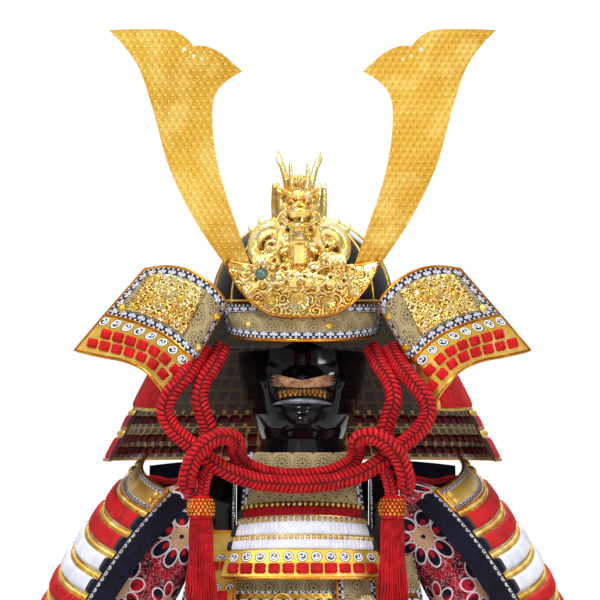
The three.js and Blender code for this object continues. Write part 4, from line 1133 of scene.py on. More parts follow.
# repousse scrolls: spirals, leaves and rosettes as a height over a flat place
def scrollHeight(x, z, spirals, rosettes=()):
    flat = np.stack([x.ravel(), z.ravel()], 1)
    height = np.zeros(len(flat))
    for cx, cz, radius, start, hand in spirals:
        t = np.linspace(0, 1, 46)
        r, a = radius * (1 - t) ** 0.85 + 0.9, start + hand * t * 2 * math.pi * 1.55
        curve = np.stack([cx + r * np.cos(a), cz + r * np.sin(a)], 1)
        near = np.flatnonzero(((flat - (cx, cz)) ** 2).sum(1) < (radius * 1.7) ** 2)
        if not len(near):
            continue
        gap = np.sqrt(((flat[near][:, None] - curve[None]) ** 2).sum(2))
        wide = (1.9 * (1 - 0.35 * t))[None]
        stroke = np.sqrt(np.maximum(0, 1 - (gap / wide) ** 2)).max(1)
        for k in range(3):
            b = start - hand * (0.5 + k * 1.25)
            mx, mz = cx + radius * 1.18 * math.cos(b), cz + radius * 1.18 * math.sin(b)
            dx, dz = flat[near][:, 0] - mx, flat[near][:, 1] - mz
            p, q = dx * math.cos(b + 0.6) + dz * math.sin(b + 0.6), -dx * math.sin(b + 0.6) + dz * math.cos(b + 0.6)
            leaf = np.sqrt(np.maximum(0, 1 - (p / (radius * 0.52)) ** 2 - (q / (radius * 0.24)) ** 2))
            stroke = np.maximum(stroke, leaf * (0.75 + 0.25 * np.cos(p * 2.2)))
        height[near] = np.maximum(height[near], stroke)
    for cx, cz, radius, count in rosettes:
        dx, dz = flat[:, 0] - cx, flat[:, 1] - cz
        r, a = np.hypot(dx, dz) / radius, np.arctan2(dz, dx)
        petals = np.clip(1.15 - r, 0, 1) ** 0.4 * (0.72 + 0.28 * np.abs(np.cos(a * count / 2))) * (r < 1)
        heart = np.sqrt(np.maximum(0, 1 - (r / 0.3) ** 2)) * 1.5
        height = np.where(r < 1.05, np.maximum(np.where(r < 1, petals, 0), heart), height)
    return height.reshape(x.shape)


# horn bracket
bracket = {"halfWidth": 90, "bottom": 196.5, "corner": 257, "cornerHeight": 6, "front": 138.1, "roundness": 220}


def bracketSheet(u, v):
    x = lerp(-bracket["halfWidth"], bracket["halfWidth"], u)
    share = np.abs(2 * u - 1)
    low = bracket["corner"] - (bracket["corner"] - bracket["bottom"]) * (1 - share**3.2)
    high = bracket["corner"] + bracket["cornerHeight"] - 12 * (1 - share**2)
    z = lerp(high, low, v)
    front = bracket["front"] - 0.15 * (z - bracket["bottom"])
    return stack(x, -front * np.sqrt(1 - (x / bracket["roundness"]) ** 2), z)


bracketSpirals = []
for row in range(4):
    for k in range(-6, 7):
        bracketSpirals.append((k * 15.5 + (row % 2) * 7.7, 203 + row * 14.5, 6.6, 1.9 * k + row, 1 if (k + row) % 2 else -1))


def bracketRise(s, t, u, v):
    p = bracketSheet(u, v)
    h = scrollHeight(p[..., 0], p[..., 2], bracketSpirals, [(-4, 214, 12, 12), (31, 213, 9, 10), (-38, 213, 9, 10), (62, 226, 8, 8), (-66, 226, 8, 8)])
    edge = np.minimum(np.minimum(v, 1 - v) * 55, np.minimum(u, 1 - u) * 180)
    return 0.2 + 2.1 * h * np.clip(edge / 3, 0, 1)


bracketPart = shell(bracketSheet, even(210), even(68), bracketRise, side=-1, paint="castGold", thinBack=True)
shadeCrevices(piece("horn_bracket_plate", [bracketPart], "gilt", "horn_bracket"), 6, 0.9)
rims.append(frameLine(bracketSheet, 0.0, 1.0, 0.0, 1.0, -0.8, -1))
studRows.append(place(bracketSheet, [0.285, 0.69], [0.66, 0.66], 1.2, -1, 0.95))
print("helmet, visor and bracket made")


# horns
horn = {"thick": 2, "lean": 0.16, "sweep": 0.285, "front": 137, "foot": 258, "hole": 2.3, "grain": 2.4, "pitch": 8.4, "relief": 0.45}
hornOuter = [(84, 246), (126, 307), (159, 374), (179, 445), (195, 492), (214, 520), (231, 538)]
hornTop = [(199, 539), (159, 538), (142, 531), (129, 518)]
hornInner = [(118, 519), (100, 512), (85, 500), (72, 488)]
hornInside = [(90, 477), (103, 462), (107.5, 440), (105, 400), (93, 347), (59, 250)]
hornHoles = [(141, 515, 1), (129.5, 507, 0.75), (119.5, 503, 0.6)]


def splineThrough(points, step):  # the flat spline that the solids' outlines follow
    points = np.asarray(points, float)
    out = []
    for i in range(len(points) - 1):
        p = [points[max(i - 1, 0)], points[i], points[i + 1], points[min(i + 2, len(points) - 1)]]
        count = max(2, int(np.linalg.norm(p[2] - p[1]) / step))
        w = (np.arange(count) / count)[:, None]
        a, b = (p[2] - p[0]) / 2, (p[3] - p[1]) / 2
        out.append((2 * p[1] - 2 * p[2] + a + b) * w**3 + (-3 * p[1] + 3 * p[2] - 2 * a - b) * w**2 + a * w + p[1])
    return np.concatenate(out)


def inside(flat, loop):
    x, y = flat[:, 0][:, None], flat[:, 1][:, None]
    a, b = loop, np.roll(loop, -1, 0)
    crosses = ((a[:, 1] > y) != (b[:, 1] > y)) & (x < (b[:, 0] - a[:, 0]) * (y - a[:, 1]) / (b[:, 1] - a[:, 1] + 1e-12) + a[:, 0])
    return crosses.sum(1) % 2 == 1


def hornPart(side):
    chains = [hornOuter, [hornOuter[-1]] + hornTop, [hornTop[-1]] + hornInner, [hornInner[-1]] + hornInside]
    loop = np.concatenate([splineThrough(c, 2.6) for c in chains] + [np.array([hornInside[-1]], float)])
    foot = np.linspace(hornInside[-1], hornOuter[0], 12)[1:-1]
    loop = np.concatenate([loop, foot])
    holes = []
    for x, z, size in hornHoles:
        turn = np.arange(14) * 2 * math.pi / 14
        holes.append(np.stack([x + horn["hole"] * size * np.cos(turn), z + horn["hole"] * size * np.sin(turn)], 1))
    step = horn["grain"]
    gx, gz = np.meshgrid(np.arange(56, 236, step), np.arange(244, 542, step * 0.866))
    gx[1::2] += step / 2
    grid = np.stack([gx.ravel(), gz.ravel()], 1)
    grid = grid[inside(grid, loop)]
    for ring in [loop] + holes:
        grid = grid[np.sqrt(((grid[:, None] - ring[None]) ** 2).sum(2)).min(1) > step * 0.6]
    for ring in holes:
        grid = grid[~inside(grid, ring)]
    flat, edges = [], []
    for ring in [loop] + holes:
        first = len(flat)
        flat += ring.tolist()
        edges += [(first + k, first + (k + 1) % len(ring)) for k in range(len(ring))]
    flat += grid.tolist()
    verts, _, tris, *_ = delaunay_2d_cdt(flat, edges, [], 1, 1e-5)
    flat = np.array([tuple(p) for p in verts])
    tris = np.array([t for t in tris if len(t) == 3])
    middle = flat[tris].mean(1)
    keep = inside(middle, loop)
    for ring in holes:
        keep &= ~inside(middle, ring)
    tris = tris[keep]
    x, z = flat[:, 0], flat[:, 1]
    wave = sum(np.cos((x * math.cos(a) + z * math.sin(a)) / horn["pitch"] * 2 * math.pi * 1.1547) for a in np.radians((90, 30, -30)))
    near = np.sqrt(((flat[:, None] - loop[None]) ** 2).sum(2)).min(1)
    rise = horn["relief"] * (wave / 3 + 0.5) * np.clip(near / 3 - 0.3, 0, 1)
    y = -horn["front"] - horn["lean"] * (z - horn["foot"]) + horn["sweep"] * x
    front, rear = stack(side * x, y - horn["thick"] - rise, z), stack(side * x, y, z)
    count = len(flat)
    faces = np.concatenate([tris, tris[:, ::-1] + count])
    pairs = np.concatenate([tris[:, [0, 1]], tris[:, [1, 2]], tris[:, [2, 0]]])
    known = set(map(tuple, pairs.tolist()))
    border = np.array([p for p in known if (p[1], p[0]) not in known])
    wall = np.stack([border[:, 1], border[:, 0], border[:, 0] + count, border[:, 1] + count], 1)
    faces = np.concatenate([np.concatenate([faces, faces[:, 2:]], 1), wall])
    points = np.concatenate([front, rear])
    places = np.stack([np.concatenate([x, x]), np.concatenate([z, z])], 1)
    return Part(points, faces, places[faces], "hornGold"), loop, y


for hand, side in (("left", 1), ("right", -1)):
    part, loop, _ = hornPart(side)
    piece(f"horn_{hand}_blade", [part], "gilt", f"horn_{hand}", smoothAngle=50)
print("horns made")

# neck guard
upperRows = [
    (187, -80, 252.5, 234.5, -62, 198.5), (160, -96, 255.5, 196, -88, 188.5), (134, -113, 250.5, 166, -106, 175.5),
    (110, -124, 236, 146.5, -117, 161.5), (97, -126, 222, 134.5, -121, 149.5), (92, -117, 212.5, 129, -113, 146),
    (95, -98, 211.7, 133, -95, 150), (101, -66, 211.7, 147, -58, 158), (104.8, -28, 211.7, 160, -14, 161),
    (106.6, 15, 211.7, 163, 32, 161), (91.8, 63, 211.7, 146, 94, 161), (64, 98, 211.7, 104, 146, 161),
    (33, 116, 211.7, 54, 171, 161), (0, 121.4, 211.7, 0, 179, 161),
]
secondEdge = [
    (271, -55, 155.5), (240, -74, 148.5), (212, -90, 143), (188, -103, 132), (172, -110, 115), (161, -106, 98), (160, -90, 86),
    (178, -62, 83), (199, -18, 84), (205, 34, 84), (187, 106, 84), (134, 173, 84), (70, 207, 84), (0, 218, 84),
]
neck = {"seam": 1.2, "span": 26, "wingTip": 5, "start": 8, "lameSeam": 0.35}
foldShare = neck["wingTip"] / neck["span"]


def neckSheet(rows):
    rows = np.asarray(rows, float)
    top, low = smoothLine(bothSides(rows[:, :3])), smoothLine(bothSides(rows[:, 3:]))
    return lambda u, v: top(u) + (low(u) - top(u)) * np.asarray(v, float)[..., None]


def secondRows():
    rows = []
    for upper, edge in zip(upperRows, secondEdge):
        start, end = np.array(upper[3:], float), np.array(edge, float)
        rows.append([*(start + unit(end - start) * neck["seam"]), *end])
    return rows


upperNeck, secondNeck = neckSheet(upperRows), neckSheet(secondRows())
lowerLine = smoothLine(bothSides([(x, y, 0) for x, y, _ in secondEdge[neck["start"] :]]))


def lowerNeck(top, topScale, low, lowScale):
    def sheet(u, v):
        share = lerp(neck["lameSeam"] / (top - low), 1, np.asarray(v, float))
        flat = lowerLine(u) * lerp(topScale, lowScale, share)[..., None]
        return stack(flat[..., 0], flat[..., 1], lerp(top, low, share))

    return sheet


# laced plates: gilt heads along the top, silk cords side by side below them
lace = {"pitch": 4.9, "ridge": 0.8, "swell": 3.3, "headPitch": 6.6, "edge": 7.5}
laceRows = [0, 0.14, 0.26, 0.29, 0.32, 0.37, 0.46, 0.6, 0.75, 0.87, 0.925, 0.955, 1.0]
laceSwell = [0, 0, 0, 0.25, 0.7, 0.95, 1.05, 1.03, 0.95, 0.85, 0.6, 0, 0]


def lacedPlate(sheet, side, silk, swell=1.0, rows=1, lowest=0.0, fine=1.63, plain=None, edges=True, u0=0.0, u1=1.0, ground="gold", topGround=None):
    width = runOf(sheet(even(60, u0, u1), np.full(60, 1.0)))[-1]
    us = even(2 * int(width / fine / 2) + 1, u0, u1)
    vs = np.unique(np.concatenate([(k + np.array(laceRows)) / rows for k in range(rows)]))
    half = runOf(sheet(even(60, u0, u1), np.full(60, 0.5)))[-1] / 2

    def stopOf(v):
        return np.where(v >= 1, 1.0, (v * rows + 1e-7) % 1)

    def laced(s, v, u):
        covered = np.ones(np.shape(u), bool)
        if plain is not None:
            covered = ~plain(u)
        return covered

    def rise(s, t, u, v):
        up = np.interp(stopOf(v), laceRows, laceSwell) * laced(s, v, u)
        ridge = np.abs(np.sin(math.pi * s / lace["pitch"])) ** 0.6
        return lowest + up * (lace["swell"] * swell * (0.82 + 0.18 * ridge) + lace["ridge"] * (ridge - 0.5))

    def paint(s, t, u, v):
        stop = stopOf(v)
        # topGround paints the strip under the heads; where it is headShade, that strip is painted shade
        names = np.where((stop > 0.28) & (stop < 0.945) & laced(s, v, u), silk, np.where(stop > 0.28, ground, topGround or ground))
        if edges:
            names = np.where((np.abs(s) > half - lace["edge"]) & (stop > 0.28) & (stop < 0.945), "roundelBand", names)
        return names.tolist()

    return shell(sheet, us, vs, rise, side=side, paint=paint, back="lacquer", thinBack=True)


def heads(sheet, side, rows=1, plain=None, lift=0.0, u0=0.0, u1=1.0, tall=1.0):  # gilt scale heads along each plate's top
    for k in range(rows):
        line = runOf(sheet(even(200, u0, u1), np.full(200, (k + 0.14) / rows)))
        count = max(3, int(line[-1] / lace["headPitch"]))
        us = np.interp((np.arange(count) + 0.5) / count * line[-1], line, even(200, u0, u1))
        if plain is not None:
            us = us[~plain(us)]
        headRows.append(place(sheet, us, np.full(len(us), (k + 0.15) / rows), lift, side, tall))


def knots(sheet, side, vs, pitch=17.0, u0=0.0, u1=1.0, lift=0.0, size=1.0, into=None, shift=0.0, plain=None):
    for v in vs:
        line = runOf(sheet(even(200, u0, u1), np.full(200, v)))
        count = max(1, int((line[-1] - pitch * 0.6) / pitch))
        start = (line[-1] - (count - 1) * pitch) / 2
        us = np.interp(start + np.arange(count) * pitch, line, even(200, u0, u1))
        if plain is not None:
            us = us[~plain(us)]
        (knotRows if into is None else into).append(place(sheet, us, np.full(len(us), v), lift, side, size))


def isWing(u):
    return np.minimum(u, 1 - u) < foldShare + 1.4 / neck["span"]


upperShell = lacedPlate(upperNeck, 1, "redSilk", fine=1.7, plain=isWing, edges=False)
# the first plate's inside gets the darkened gilt, painted shade
upperShell.paint = ["innerGold" if n == "lacquer" else n for n in upperShell.paint]
parts = [upperShell]
inner = 2.5
for u0, u1 in ((0.0, foldShare + 0.004), (1 - foldShare - 0.004, 1.0)):
    field = shell(upperNeck, even(60, u0, u1), even(16), inner + 0.15, inner - 0.05, side=-1, paint="leather")
    parts.append(field)
    parts.append(frameBand(upperNeck, u0, u1, 0, 1, 10.5, inner + 0.5, -1, "treeBand"))
    rims.append(frameLine(upperNeck, u0, u1, 0, 1, 1.6, -1))
    far = foldShare - 0.018
    spots = [(far, 0.28), (far - 0.005, 0.82), (0.012, 0.83)]
    us = [a if u0 == 0 else 1 - a for a, _ in spots]
    studRows.append(place(upperNeck, us, [b for _, b in spots], inner + 0.6, -1, 0.95))
piece("neck_plate_1", parts, "gilt", "neck_lame_1")
heads(upperNeck, 1, plain=isWing)

secondShell = lacedPlate(secondNeck, 1, "redSilk", fine=1.8, plain=isWing, edges=False)
# the second plate's inside takes innerShade, a painted shade
secondShell.paint = ["innerShade" if n == "lacquer" else n for n in secondShell.paint]
parts = [secondShell]
for u0, u1 in ((0.0, foldShare + 0.02), (1 - foldShare - 0.02, 1.0)):
    parts.append(shell(secondNeck, even(50, u0, u1), even(14), inner + 0.15, inner - 0.05, side=-1, paint="sheetGold"))
    parts.append(shell(secondNeck, even(90, u0, u1), even(4, 0.0, 0.34), inner + 0.4, inner, side=-1, paint="bigRoundels"))
    rims.append(frameLine(secondNeck, u0, u1, 0, 1, 1.6, -1))
    knots(secondNeck, -1, (0.45, 0.74), 17.5, u0, u1, inner + 0.2, 1.0)
piece("neck_plate_2", parts, "gilt", "neck_lame_2")
heads(secondNeck, 1, plain=isWing)
for name, sizes in (("3", (84, 1, 62, 1.058)), ("4", (62, 1.058, 24, 1.16))):
    sheet = lowerNeck(*sizes)
    part = lacedPlate(sheet, 1, "redSilk", 0.6, fine=1.9)
    # the lower plates' insides take innerGrid, with its painted shade
    part.paint = ["innerGrid" if n == "lacquer" else n for n in part.paint]
    piece(f"neck_plate_{name}", [part], "gilt", f"neck_lame_{name}")
    heads(sheet, 1)
    rims.append(sheet(even(160), np.full(160, 1.0)) * (1, 1, 1))
    rows = (0.5,) if name == "3" else (0.3, 0.68)
    knots(sheet, -1, rows, 15.5, 0, 1, inner, 0.9, shadedKnotRows)

plaque = {"from": 0.5, "to": 3, "top": 0.14, "low": 0.84, "bed": 0.35, "thick": 2}
for hand, side in (("left", 1), ("right", -1)):
    lo, hi = (neck["span"] - plaque["to"], neck["span"] - plaque["from"]) if side > 0 else (plaque["from"], plaque["to"])

    def plaqueSheet(u, v):
        return upperNeck(lerp(lo, hi, u) / neck["span"], lerp(plaque["top"], plaque["low"], v))

    spirals = [(-18 + 11.5 * i, 6 + 11.5 * j, 5.2, 2.1 * i + j, 1 if (i + j) % 2 else -1) for i in range(-3, 8) for j in range(0, 6)]

    def plaqueRise(s, t, u, v):
        h = scrollHeight(s, t, spirals, [(0, 22, 9, 8), (-22, 14, 6.5, 8), (22, 30, 6.5, 8)])
        return 2.5 + plaque["bed"] + 0.9 + 2.4 * h

    spots = [(0.16, 0.1), (0.66, 0.4), (0.2, 0.52)]
    buttonRows.append(place(plaqueSheet, [a if side < 0 else 1 - a for a, _ in spots], [b for _, b in spots], 5.6, -1, 0.85))
    part = shell(plaqueSheet, even(96), even(60), plaqueRise, 2.5 + plaque["bed"], side=-1, paint="castGold", thinBack=True)
    shadeCrevices(piece(f"wing_plaque_{hand}_relief", [part], "gilt", f"wing_plaque_{hand}"), 6, 0.7)
print("neck guard made")

# face mask
mask = {"top": 158, "chin": 50, "ring": 34.4, "ringOut": 54, "ringFront": 105.4, "wrap": 100, "wall": 3, "hingeY": -10, "chinShare": 0.88}
maskBands = np.array([(170, 78, 96), (140, 77, 99), (110, 72, 106), (80, 63, 108), (62, 55, 107), (50, 49, 100)], float)
maskForms = [
    (0, 150, 8, 18, 12), (0, 124, 11, 10, 20), (15, 121, 7, 6, 8), (-15, 121, 7, 6, 8), (46, 128, 15, 17, 9), (-46, 128, 15, 17, 9),
    (0, 88, 24, 4, 4), (0, 72, 22, 11, 11),
]
maskFolds = [  # grooves and ridges of the lacquered face: middle, half width, half height, push
    (26, 116, 5, 12, 2.2), (-26, 116, 5, 12, 2.2), (58, 108, 8, 7, -2.5), (-58, 108, 8, 7, -2.5), (0, 60, 16, 4, -2.5),
    (30, 74, 6, 14, -2.0), (-30, 74, 6, 14, -2.0), (42, 100, 5, 12, 1.8), (-42, 100, 5, 12, 1.8),
]


def bandAt(table, z):
    order = table[::-1]
    return np.interp(z, order[:, 0], order[:, 1]), np.interp(z, order[:, 0], order[:, 2])


def maskPush(x, z):
    total = 0
    for out, height, wide, tall, push in maskForms + maskFolds:
        total = total + push * np.exp(-(((x - out) / wide) ** 2) - ((z - height) / tall) ** 2)
    return total


def maskSheet(u, v):
    u, v = np.broadcast_arrays(np.asarray(u, float), np.asarray(v, float))
    turn, span = np.radians(lerp(-mask["wrap"], mask["wrap"], u)), np.abs(2 * u - 1)
    top = mask["top"] + 10 * np.exp(-((span / 0.16) ** 2)) - 6 * span
    z = lerp(top, mask["chin"], np.minimum(v / mask["chinShare"], 1))
    out, front = bandAt(maskBands, z)
    x = out * np.sin(turn)
    push = np.where(np.cos(turn) > 0, maskPush(x, z) * np.maximum(np.cos(turn), 0) ** 0.5, 0)
    face = stack(x, mask["hingeY"] - (front + mask["hingeY"]) * np.cos(turn) - push, z)
    share = np.clip((v - mask["chinShare"]) / (1 - mask["chinShare"]), 0, 1)
    endOut, endFront = bandAt(maskBands, mask["chin"])
    out, front = lerp(endOut, mask["ringOut"], share), lerp(endFront, mask["ringFront"], share) + mask["hingeY"]
    ring = stack(out * np.sin(turn), mask["hingeY"] - front * np.cos(turn), lerp(mask["chin"], mask["ring"], share))
    return np.where((v > mask["chinShare"])[..., None], ring, face)


def maskFront(x, z):
    out, front = bandAt(maskBands, z)
    cosine = np.sqrt(np.maximum(0, 1 - (x / out) ** 2))
    return mask["hingeY"] - (front + mask["hingeY"]) * cosine - maskPush(x, z) * cosine**0.5


def cutWith(name, part, paint, cutter, slotName, *replaced):
    made = piece(name, [part], slotName, *replaced)
    mesh = bpy.data.meshes.new(name + "Cutter")
    mesh.from_pydata((cutter.points * mm).tolist(), [], [f[:3] if f[2] == f[3] else f for f in cutter.faces.tolist()])
    tool = bpy.data.objects.new(name + "Cutter", mesh)
    bpy.context.scene.collection.objects.link(tool)
    cut = made.modifiers.new("mouth", "BOOLEAN")
    cut.object, cut.operation, cut.solver = tool, "DIFFERENCE", "EXACT"
    bpy.context.view_layer.update()
    graph = bpy.context.evaluated_depsgraph_get()
    result = bpy.data.meshes.new_from_object(made.evaluated_get(graph), depsgraph=graph)
    made.modifiers.clear()
    made.data = result
    bpy.data.objects.remove(tool)
    return made


mouthLow = splineThrough([(-33, 97), (-16, 101), (0, 102), (16, 101), (33, 97)], 2)
mouthHigh = splineThrough([(36, 104), (20, 109.5), (0, 110), (-20, 109.5), (-36, 104)], 2)
mouthLoop = np.concatenate([mouthLow, mouthHigh])
count = len(mouthLoop)
mouthPoints = np.concatenate([stack(mouthLoop[:, 0], -60 + 0 * mouthLoop[:, 0], mouthLoop[:, 1]), stack(mouthLoop[:, 0], -150 + 0 * mouthLoop[:, 0], mouthLoop[:, 1])])
mouthPoints = np.concatenate([mouthPoints, [[0, -60, 105.5], [0, -150, 105.5]]])
k = np.arange(count)
n = (k + 1) % count
mouthFaces = np.concatenate([
    np.stack([k, n, n + count, k + count], 1),
    np.stack([n, k, 0 * k + 2 * count, 0 * k + 2 * count], 1),
    np.stack([k + count, n + count, 0 * k + 2 * count + 1, 0 * k + 2 * count + 1], 1),
])
mouthTool = Part(mouthPoints, mouthFaces, np.zeros((len(mouthFaces), 4, 2)), "lacquer")
maskShell = shell(maskSheet, even(101), np.concatenate([even(58, 0, 0.88), even(7, 0.88, 1)[1:]]), 0, -mask["wall"], side=-1, paint="lacquer")
cutWith("face_mask_lacquer", maskShell, "lacquer", mouthTool, "black_lacquer", "face_mask")


def acrossFace(xs, z, lift):
    z = np.broadcast_to(np.asarray(z, float), np.shape(xs))
    return stack(xs, maskFront(xs, z) - lift, z)


xs = even(31, -35, 35)
lipParts = [tube(acrossFace(xs, 95.2 + 0 * xs - 3.6 * (np.abs(xs) / 35) ** 2.2, -0.6), 3.4 * np.sqrt(np.maximum(0.06, 1 - (xs / 36) ** 2)), 12, "lip")]
toothParts = []
for row, z, count, high in (("upper", 108.4, 12, 5.0), ("lower", 101.5, 10, 4.2)):
    for k in range(count):
        x = (k - (count - 1) / 2) * (58 / count)
        y = float(maskFront(np.array(x), np.array(z))) + 3.6
        toothParts.append(ball((x, y, z - 1.5 * (abs(x) / 30) ** 2), (2.5, 2.4, high), "teeth", 8, 10))
piece("mask_teeth", toothParts, "bristle")
piece("mask_lower_lip", lipParts, "black_lacquer")

# moustache: two fans of bristle laid outward over the upper lip
hair = {"count": 1300, "length": 22, "from": -1.5, "to": 19, "low": (111.5, 114), "high": (120, 128), "reach": 40}
shapeOf["bristle"] = shapeObject("bristleShape", tube(np.array([(0.5 * t * t, 0, hair["length"] * t) for t in even(4)]), np.linspace(0.55, 0.14, 4), 3))
chance = np.random.default_rng(21)


def hairHeight(x, level):
    share = np.clip(x / hair["reach"], 0, 1)
    return lerp(lerp(hair["low"][0], hair["low"][1], share), lerp(hair["high"][0], hair["high"][1], share), level)


places, outs, sizes = [], [], []
for k in range(hair["count"]):
    hand, x, level = (-1) ** k, lerp(hair["from"], hair["to"], chance.random()), chance.random()
    size = chance.uniform(0.7, 1.05)
    ahead = x + hair["length"] * size
    z, farZ = hairHeight(x, level), hairHeight(ahead, level) + chance.uniform(-1.2, 1.2)
    here, there = (float(maskFront(np.array(a), np.array(b))) for a, b in ((x, z), (ahead, farZ)))
    places.append((hand * x, min(here, there + 2.5) - 0.5 - chance.uniform(0, 2.2), z))
    outs.append((hand * (ahead - x), there - here + chance.uniform(-0.8, 0.8), farZ - z))
    sizes.append(size)
rows = [(np.array(places), unit(np.array(outs)), np.tile([0.0, -1.0, 0.3], (len(places), 1)), np.array(sizes))]
scatter("moustache", "bristle", shapeOf["bristle"], rows, "bristle", 1.0, 0.05, 4, ("whiskers",))
print("mask made")

# throat bib
bibEdges = np.array([(34, 65, 106, 24, 0), (-24, 73, 115, 24, 6), (-41, 77, 119, 24, 6), (-64, 85, 126, 24, 4), (-81, 89.5, 131, 24, 3), (-115, 98, 142, 24, 0)], float)
bibSpread = 65


def bibSheet(i):
    upper, lower = bibEdges[i], bibEdges[i + 1]

    def sheet(u, v):
        share = lerp(neck["lameSeam"] / (upper[0] - lower[0]) if i else 0, 1, np.asarray(v, float))
        turn = np.radians(lerp(-bibSpread, bibSpread, u))
        z, out, front, sag, droop = [lerp(a, b, share) for a, b in zip(upper, lower)]
        out = out / math.sin(math.radians(bibSpread))
        sag = sag / (1 - math.cos(math.radians(bibSpread)))
        return stack(out * np.sin(turn), -(front - sag * (1 - np.cos(turn))), z - droop * (2 * u - 1) ** 2)

    return sheet


bibTop = bibSheet(0)
parts = [shell(bibTop, even(70), even(20), side=-1, paint="leather", back="lacquer", edge="rimGold")]
for near, far in ((0.0, 0.075), (1.0, 0.925)):
    parts.append(shell(lambda u, v: bibTop(lerp(near, far, v), u), even(50), even(4), 0.5, -0.2, side=1 if near < far else -1, paint="treeBand"))
piece("bib_leather", parts, "stencilled_leather", "bib_plate")
for i, silk, swell in ((1, "wineSilk", 0.5), (2, "whiteSilk", 0.8), (3, "whiteSilk", 0.8)):
    sheet = bibSheet(i)
    piece(f"bib_plate_{i}", [lacedPlate(sheet, -1, silk, swell, fine=1.0, topGround="headShade" if i == 1 else silk)], "red_silk" if i == 1 else "white_silk", f"bib_lame_{i}")
    heads(sheet, -1, tall=0.9)
last = bibSheet(4)
parts = [shell(last, even(70), even(12), side=-1, paint="sheetGold", back="lacquer")]
parts.append(shell(last, even(90), even(4, 0.02, 0.46), 0.5, -0.2, side=-1, paint="bigRoundels"))
piece("bib_plate_4", parts, "gilt", "bib_lame_4")
knots(last, -1, (0.66,), 17.0, 0, 1, 0.1, 1.05)
rims.append(onSheet(last, even(60), np.full(60, 1.0), -1.2, -1))

# cuirass
chestBands = np.array([(-50, 132, 102), (-88, 150, 112), (-150, 165, 121), (-222, 166, 122), (-300, 158, 116), (-382, 152, 112), (-400, 153, 113)], float)
centreY = 5


def chestSheet(low, high, top, foot, clearTop=0.0, clearLow=0.0):
    def sheet(u, v):
        z, clear = lerp(top, foot, np.asarray(v, float)), lerp(clearTop, clearLow, np.asarray(v, float))
        out, front = bandAt(chestBands, z)
        turn = np.radians(lerp(low, high, u))
        return stack((out + clear) * np.sin(turn), centreY - (front + clear) * np.cos(turn), z)

    return sheet


for name, low, high, foot in (("breast", -62, 62, -149.55), ("back", 122, 238, -149.55)):
    top = -88 if name == "breast" else -62
    sheet = chestSheet(low, high, top - 0.35, foot)
    parts = [shell(sheet, even(90), even(18), side=-1, paint="stampedGold", back="lacquer", edge="rimGold")]
    parts.append(frameBand(sheet, 0, 1, 0, 1, 9, 0.5, -1, "treeBand"))
    if name == "breast":
        parts.append(shell(sheet, even(80, 0.01, 0.99), even(10, 0.01, 0.7), 0.9, -0.2, side=-1, paint="leather"))
        parts.append(shell(sheet, even(80, 0.01, 0.99), even(3, 0.7, 0.75), 1.2, -0.2, side=-1, paint="roundelBand"))
    piece(f"{name}_plate_gilt", parts, "gilt", f"{name}_plate")
    sheet = chestSheet(low, high, -150.35, -222)
    piece(f"{name}_laced", [lacedPlate(sheet, -1, "redSilk", rows=2, topGround="headShade")], "red_silk", f"{name}_lames")
    heads(sheet, -1, 2)
for k in range(4):
    sheet = chestSheet(-60, 240, -222.35 - 40 * k, -262 - 40 * k)
    silk = "whiteSilk" if k == 1 else "redSilk"
    piece(f"body_laced_{k + 1}", [lacedPlate(sheet, -1, silk, fine=1.9)], "red_silk", f"body_lame_{k + 1}")
    heads(sheet, -1)
sheet = chestSheet(270 - 29.85, 270 + 29.85, -222.35, -382)
piece("side_plate_leather", [shell(sheet, even(60), even(40), side=-1, paint="leather", back="lacquer"), frameBand(sheet, 0, 1, 0, 1, 10, 0.5, -1, "treeBand")], "stencilled_leather", "side_plate")

rightGuard = chestSheet(-45, -28, -60.35, -186, 15.35, 8.8)
parts = [shell(rightGuard, even(24), even(60), side=-1, paint="sheetGold", back="lacquer", edge="rimGold")]
for v in (0.3, 0.58, 0.86):
    parts.append(shell(rightGuard, even(30, 0.03, 0.97), even(4, v - 0.1, v - 0.035), 0.5, -0.2, side=-1, paint="bigRoundels"))
    knots(rightGuard, -1, (v + 0.03,), 16, 0, 1, 0.1, 0.95)
piece("laced_guard", parts, "gilt", "laced_chest_guard")
leftGuard = chestSheet(14, 31, -60.35, -190, 15, 8.6)
parts = [shell(leftGuard, even(30), even(60), side=-1, paint="leather", back="lacquer", edge="rimGold")]
parts.append(frameBand(leftGuard, 0, 1, 0, 1, 7.5, 0.4, -1, "treeBand"))
piece("leathered_guard", parts, "stencilled_leather", "leathered_chest_guard")
rims += [frameLine(leftGuard, 0, 1, 0, 1, 0.2, -1), frameLine(rightGuard, 0, 1, 0, 1, 0.2, -1)]
ring = {"x": -24, "z": -144, "radius": 10.3}
turns = even(49) * 2 * math.pi
ringX = ring["x"] + ring["radius"] * np.cos(turns)
ringY = centreY - (118.5 + 0 * turns) * np.sqrt(1 - (ringX / 163) ** 2) - 3.2
ringLine = stack(ringX, ringY, ring["z"] + ring["radius"] * np.sin(turns))
piece("breast_ring", [tube(ringLine, 1.5, 10, "castGold", lambda run, turn: 0.5 * np.sin(run * 2.1 + turn))], "gilt")
bossSpot = place(leftGuard, 0.72, 0.66, 0.3, -1)
petals = []
for k in range(16):
    a = 2 * math.pi * k / 16
    flat = bossSpot[2][0] * math.cos(a) + np.cross(bossSpot[1][0], bossSpot[2][0]) * math.sin(a)
    line = bossSpot[0][0] + np.outer(np.array([2.5, 5.5, 8.5, 11]), flat) + np.outer(np.array([1.6, 2.4, 2.2, 0.9]), bossSpot[1][0])
    petals.append(tube(line, [1.0, 1.7, 1.9, 0.9], 8, "ivoryGold"))
piece("guard_flower", petals, "gilt")
buttonRows.append(place(leftGuard, 0.72, 0.66, 1.6, -1, 0.8))

# shoulder straps
strap = {"out": 98, "halfWidth": 18, "thick": 4, "curve": 150}
strapLine = smoothLine([(0, y, z) for y, z in [(-79.5, -88), (-74, -60), (-54, -22), (-22, -1), (14, 2), (50, -8), (73, -34), (78.4, -61.9)]])


